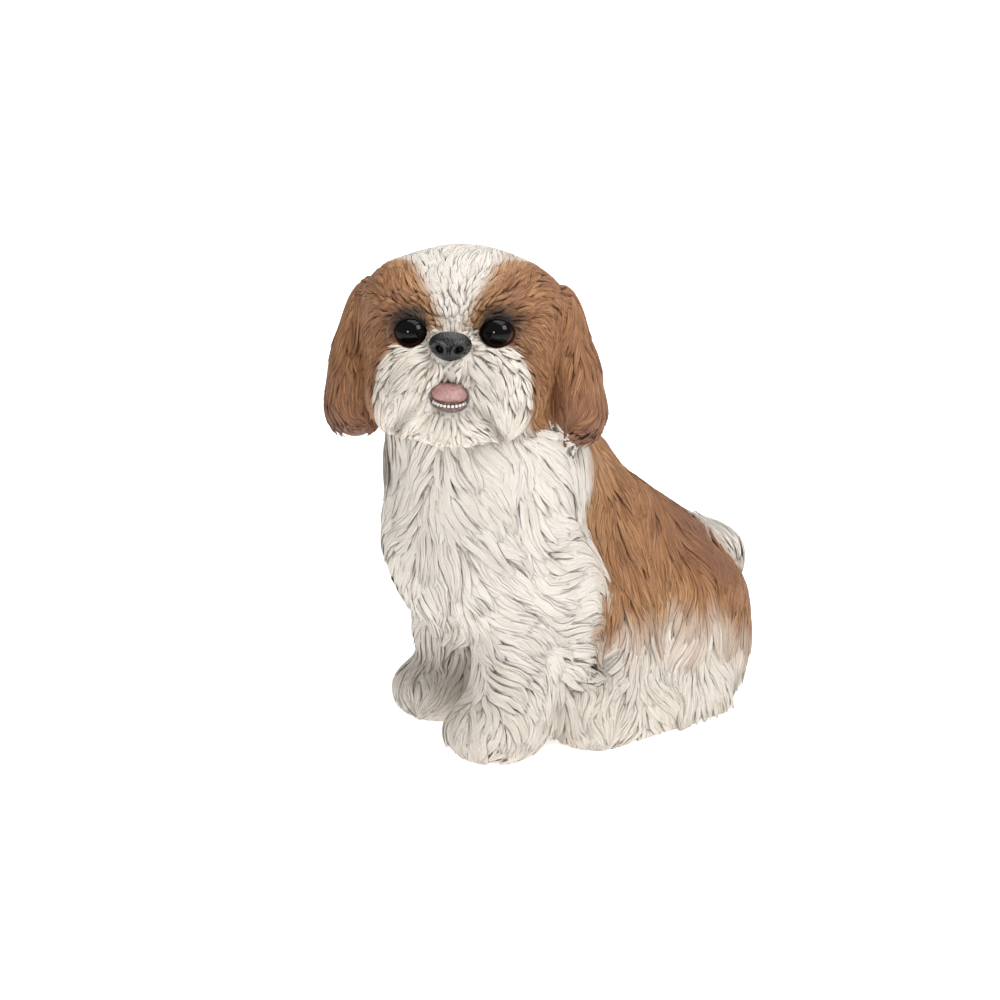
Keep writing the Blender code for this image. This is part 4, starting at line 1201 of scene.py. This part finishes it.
# Nose
def noseMaterial():
    # small pebbles over a broader grain
    finish = Finish("black nose leather")
    place = finish.place()
    inputs = {"Vector": place, "Scale": 1500.0}
    pebbles = finish.add("ShaderNodeTexVoronoi", {"feature": "SMOOTH_F1"}, inputs)
    grain = finish.noise(place, 300.0, 3.0)
    shade = (pebbles * 0.7 + grain * 0.5 - 0.2).clamped()
    finish.set("Base Color", finish.mixColours((0.002, 0.002, 0.003), (0.014, 0.014, 0.016), shade))
    finish.set("Roughness", (0.20 + grain * 0.12).clamped())
    finish.set("Specular IOR Level", 0.55)
    finish.bump(pebbles, 0.6, 0.0007)
    return finish.material


def makeNose():
    # a ball wider at the top and flat in front, with a middle groove, two comma nostrils and their wings
    points, loops, sizes = globe(90, 140)
    x, y, z = points.T
    side = np.abs(x)
    front = smooth(-y, 0.1, 0.8)
    wide = 1 + noseSettings["flare"] * z - 0.10 * smooth(-z, 0.2, 1.0)
    groove = 0.13 * np.exp(-((x / 0.075) ** 2)) * smooth(-z, -0.35, 0.4) * front
    nostrilGap = np.hypot((side - 0.47) / 0.22, (z + 0.16 - 0.35 * (side - 0.47)) / 0.28)
    hole = 0.62 * (1 - smooth(nostrilGap, 0.25, 1.0)) * front
    tailGap = np.hypot((side - 0.80) / 0.24, (z + 0.33 + 0.5 * (side - 0.8) ** 2) / 0.085)
    slit = 0.20 * (1 - smooth(tailGap, 0.2, 1.0)) * smooth(-y, -0.1, 0.25)
    wing = 0.15 * np.exp(-((nostrilGap - 1.45) / 0.40) ** 2) * smooth(-y, 0.0, 0.5)
    crown = 0.08 * np.exp(-((z - 0.62) / 0.22) ** 2) * front
    depth = y * (1 - 0.06 * front) * (1 - groove - hole - slit + wing + crown)
    shaped = np.stack([x * wide * (1 + 0.5 * wing - 0.4 * slit), depth, z * (1 + 0.06 * front * z)], axis=1)
    local = shaped * noseSettings["radii"] + noseSettings["at"]
    nose = meshObject("noseLeather", headPoint(local), loops, sizes, noseMaterial())
    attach(nose, "root")
    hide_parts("nose")


makeNose()


# Mouth
tongueSettings = {"at": (0.05, -4.85, -2.14), "radii": (1.22, 1.46, 0.66), "droop": 5.0}
teethSettings = {
    "at": (0.05, -5.25, -2.96),
    "arc": 0.90,
    "halfAngle": 60,
    "count": 11,
    "smile": 0.34,
    "tall": 0.082,
    "endTall": 0.11,
}


def wetMaterial(name, first, second, roughness, scale, coat):
    # two colours mixed by a fine grain, under a clear coat
    finish = Finish(name)
    grain = finish.noise(finish.place(), scale)
    finish.set("Base Color", finish.mixColours(first, second, grain.between(0.35, 0.65)))
    finish.set("Roughness", (roughness + grain * 0.15).clamped())
    finish.set("Coat Weight", coat)
    finish.bump(grain, 0.15, 0.0003)
    return finish.material


def makeTongue():
    # flattened ball with a groove along its middle and a soft rim
    points, loops, sizes = globe(36, 56)
    x, y, z = points.T
    groove = 0.12 * np.exp(-((x / 0.2) ** 2)) * smooth(z, 0.0, 0.5) * smooth(-y, -0.6, 0.4)
    shaped = np.stack([x, y, z * (1 - groove) + 0.08 * x**2], axis=1) * tongueSettings["radii"]
    local = shaped @ turned(pitch=tongueSettings["droop"]).T + tongueSettings["at"]
    material = wetMaterial("pink tongue", (0.37, 0.187, 0.177), (0.46, 0.265, 0.250), 0.42, 500.0, 0.08)
    tongue = meshObject("pinkTongue", headPoint(local), loops, sizes, material)
    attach(tongue, "root")
    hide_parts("tongue")


def makeTeeth():
    # a row of rounded pegs on the arc of the lower jaw, taller at both ends
    s = teethSettings
    unit, loops, sizes = globe(8, 14)
    rounded = np.sign(unit) * np.abs(unit) ** 0.8
    pegs = []
    for index, angle in enumerate(np.radians(np.linspace(-s["halfAngle"], s["halfAngle"], s["count"]))):
        tall = s["endTall"] if index in (0, s["count"] - 1) else s["tall"]
        rise = 0.13 + s["smile"] * (1 - math.cos(angle))
        place = np.array((s["arc"] * math.sin(angle), -s["arc"] * math.cos(angle), rise))
        pegs.append(rounded * (0.078, 0.075, tall) @ turned(math.degrees(angle)).T + place)
    points, loops, sizes = copies(pegs, loops, sizes)
    material = wetMaterial("white teeth", (0.66, 0.62, 0.55), (0.78, 0.75, 0.69), 0.28, 900.0, 0.1)
    teeth = meshObject("lowerTeethRow", headPoint(points + s["at"]), loops, sizes, material)
    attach(teeth, "root")
    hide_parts("lower_teeth")


def makeGum():
    # a ball bent round the arc of the teeth
    s = teethSettings
    unit, loops, sizes = globe(10, 32)
    bend = unit[:, 0] * math.radians(s["halfAngle"]) * 1.15
    radius = s["arc"] - 0.03 - unit[:, 1] * 0.10
    height = unit[:, 2] * 0.11 + s["smile"] * (1 - np.cos(bend))
    local = np.stack([radius * np.sin(bend), -radius * np.cos(bend), height], axis=1) + s["at"]
    material = wetMaterial("grey pink gum", (0.10, 0.065, 0.06), (0.20, 0.13, 0.12), 0.45, 600.0, 0.05)
    gum = meshObject("lowerGum", headPoint(local), loops, sizes, material)
    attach(gum, "root")


def makeLips():
    # the oval of the mouth carried along the head's forward axis onto the flesh
    s = lipSettings
    around = turnAngles(72)
    high = np.where(np.sin(around) > 0, s["upper"], s["lower"])
    local = np.stack([s["wide"] * np.cos(around), 0 * around, high * np.sin(around)], axis=1)
    path = headPoint(local + s["at"])
    forward = headAxes @ (0, -1.0, 0)
    for _ in range(12):
        path = path - forward * np.clip(wholeField(path) + 0.14, -0.3, 0.3)[:, None]
    normals = outward(path)
    across = unitRows(np.cross(unitRows(alongLoop(path)), normals))
    material = wetMaterial("grey lip", (0.11, 0.09, 0.08), (0.26, 0.225, 0.205), 0.5, 700.0, 0.0)
    lips = meshObject("darkLips", *closedTube(path, normals, across, s["thick"]), material)
    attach(lips, "root")


makeTongue()
makeTeeth()
makeGum()
makeLips()
print("nose and mouth made")


# Floor, light and camera
stageSettings = {"reach": 14.0, "glow": 0.85}  # metres from the middle to the edge


def makeStage():
    # one flat square under the statue, wide enough to fill the picture from every side
    reach = stageSettings["reach"]
    corners = np.array(((-reach, -reach, 0), (reach, -reach, 0), (reach, reach, 0), (-reach, reach, 0)))
    finish = Finish("pale studio paper")
    place = finish.place()
    grain = finish.noise(place, 3.0)
    finish.set("Base Color", finish.mixColours((0.90, 0.90, 0.90), (0.94, 0.94, 0.94), grain))
    finish.set("Roughness", 0.8)
    # painted glow: the floor gives off light, dimmer near the statue and full white further out
    away = finish.vector("LENGTH", place, output=1).between(0.4, 1.6)
    finish.set("Emission Color", finish.mixColours((0.76, 0.76, 0.76), (1.0, 1.0, 1.0), away))
    finish.set("Emission Strength", stageSettings["glow"])
    floor = meshObject("studioFloor", unplaced(corners), np.arange(4), np.array((4,)), finish.material)


def aimed(thing, target):
    # turned so that its own -Z looks at the target
    direction = Vector(target) - thing.location
    thing.rotation_euler = direction.to_track_quat("-Z", "Y").to_euler()


cameraSettings = {
    "azimuth": 50.0,
    "elevation": 17.5,
    "distance": 120.0,
    "target": (1.2, -5.5, 12.9),
    "focal": 2316.0,  # in pixels of a picture 1000 wide
}


def aroundTarget(azimuth, elevation, distance):
    # azimuth turns from -Y towards +X, and elevation rises from the floor
    a, e = math.radians(azimuth), math.radians(elevation)
    return np.array((math.sin(a) * math.cos(e), -math.cos(a) * math.cos(e), math.sin(e))) * distance


def makeCamera():
    # the photo's viewing angle
    s = cameraSettings
    data = bpy.data.cameras.new("photoCamera")
    data.sensor_width = 36.0
    data.lens = s["focal"] / 1000 * data.sensor_width
    camera = bpy.data.objects.new("photoCamera", data)
    bpy.context.scene.collection.objects.link(camera)
    target = np.array(s["target"])
    camera.location = placed(target + aroundTarget(s["azimuth"], s["elevation"], s["distance"]))
    aimed(camera, placed(target))
    bpy.context.scene.camera = camera


lightSettings = (
    # name, azimuth, elevation, distance in metres, size, power
    ("keySoftbox", 90, 37, 1.3, 0.46, 5.6),
    ("topSoftbox", 110, 80, 1.4, 1.3, 16.5),
    ("fillSoftbox", -30, 20, 1.5, 1.8, 0.3),
    ("backSoftbox", 215, 50, 1.6, 1.0, 4.5),
    ("smallLamp", 25, 15, 1.2, 0.14, 1.9),
)


def makeLights():
    # square lamps round the statue, and a dim white world
    for name, azimuth, elevation, distance, size, power in lightSettings:
        data = bpy.data.lights.new(name, "AREA")
        data.shape = "SQUARE"
        data.size = size
        data.energy = power
        light = bpy.data.objects.new(name, data)
        bpy.context.scene.collection.objects.link(light)
        centre = np.array((0, 0, 0.13))
        light.location = centre + aroundTarget(azimuth, elevation, distance)
        aimed(light, centre)
    world = bpy.data.worlds.new("studioWorld")
    bpy.context.scene.world = world
    world.use_nodes = True
    world.node_tree.nodes["Background"].inputs[0].default_value = (1, 1, 1, 1)
    world.node_tree.nodes["Background"].inputs[1].default_value = 0.28


makeStage()
makeCamera()
makeLights()
bpy.context.scene.view_settings.view_transform = "Standard"

print("stage lit")
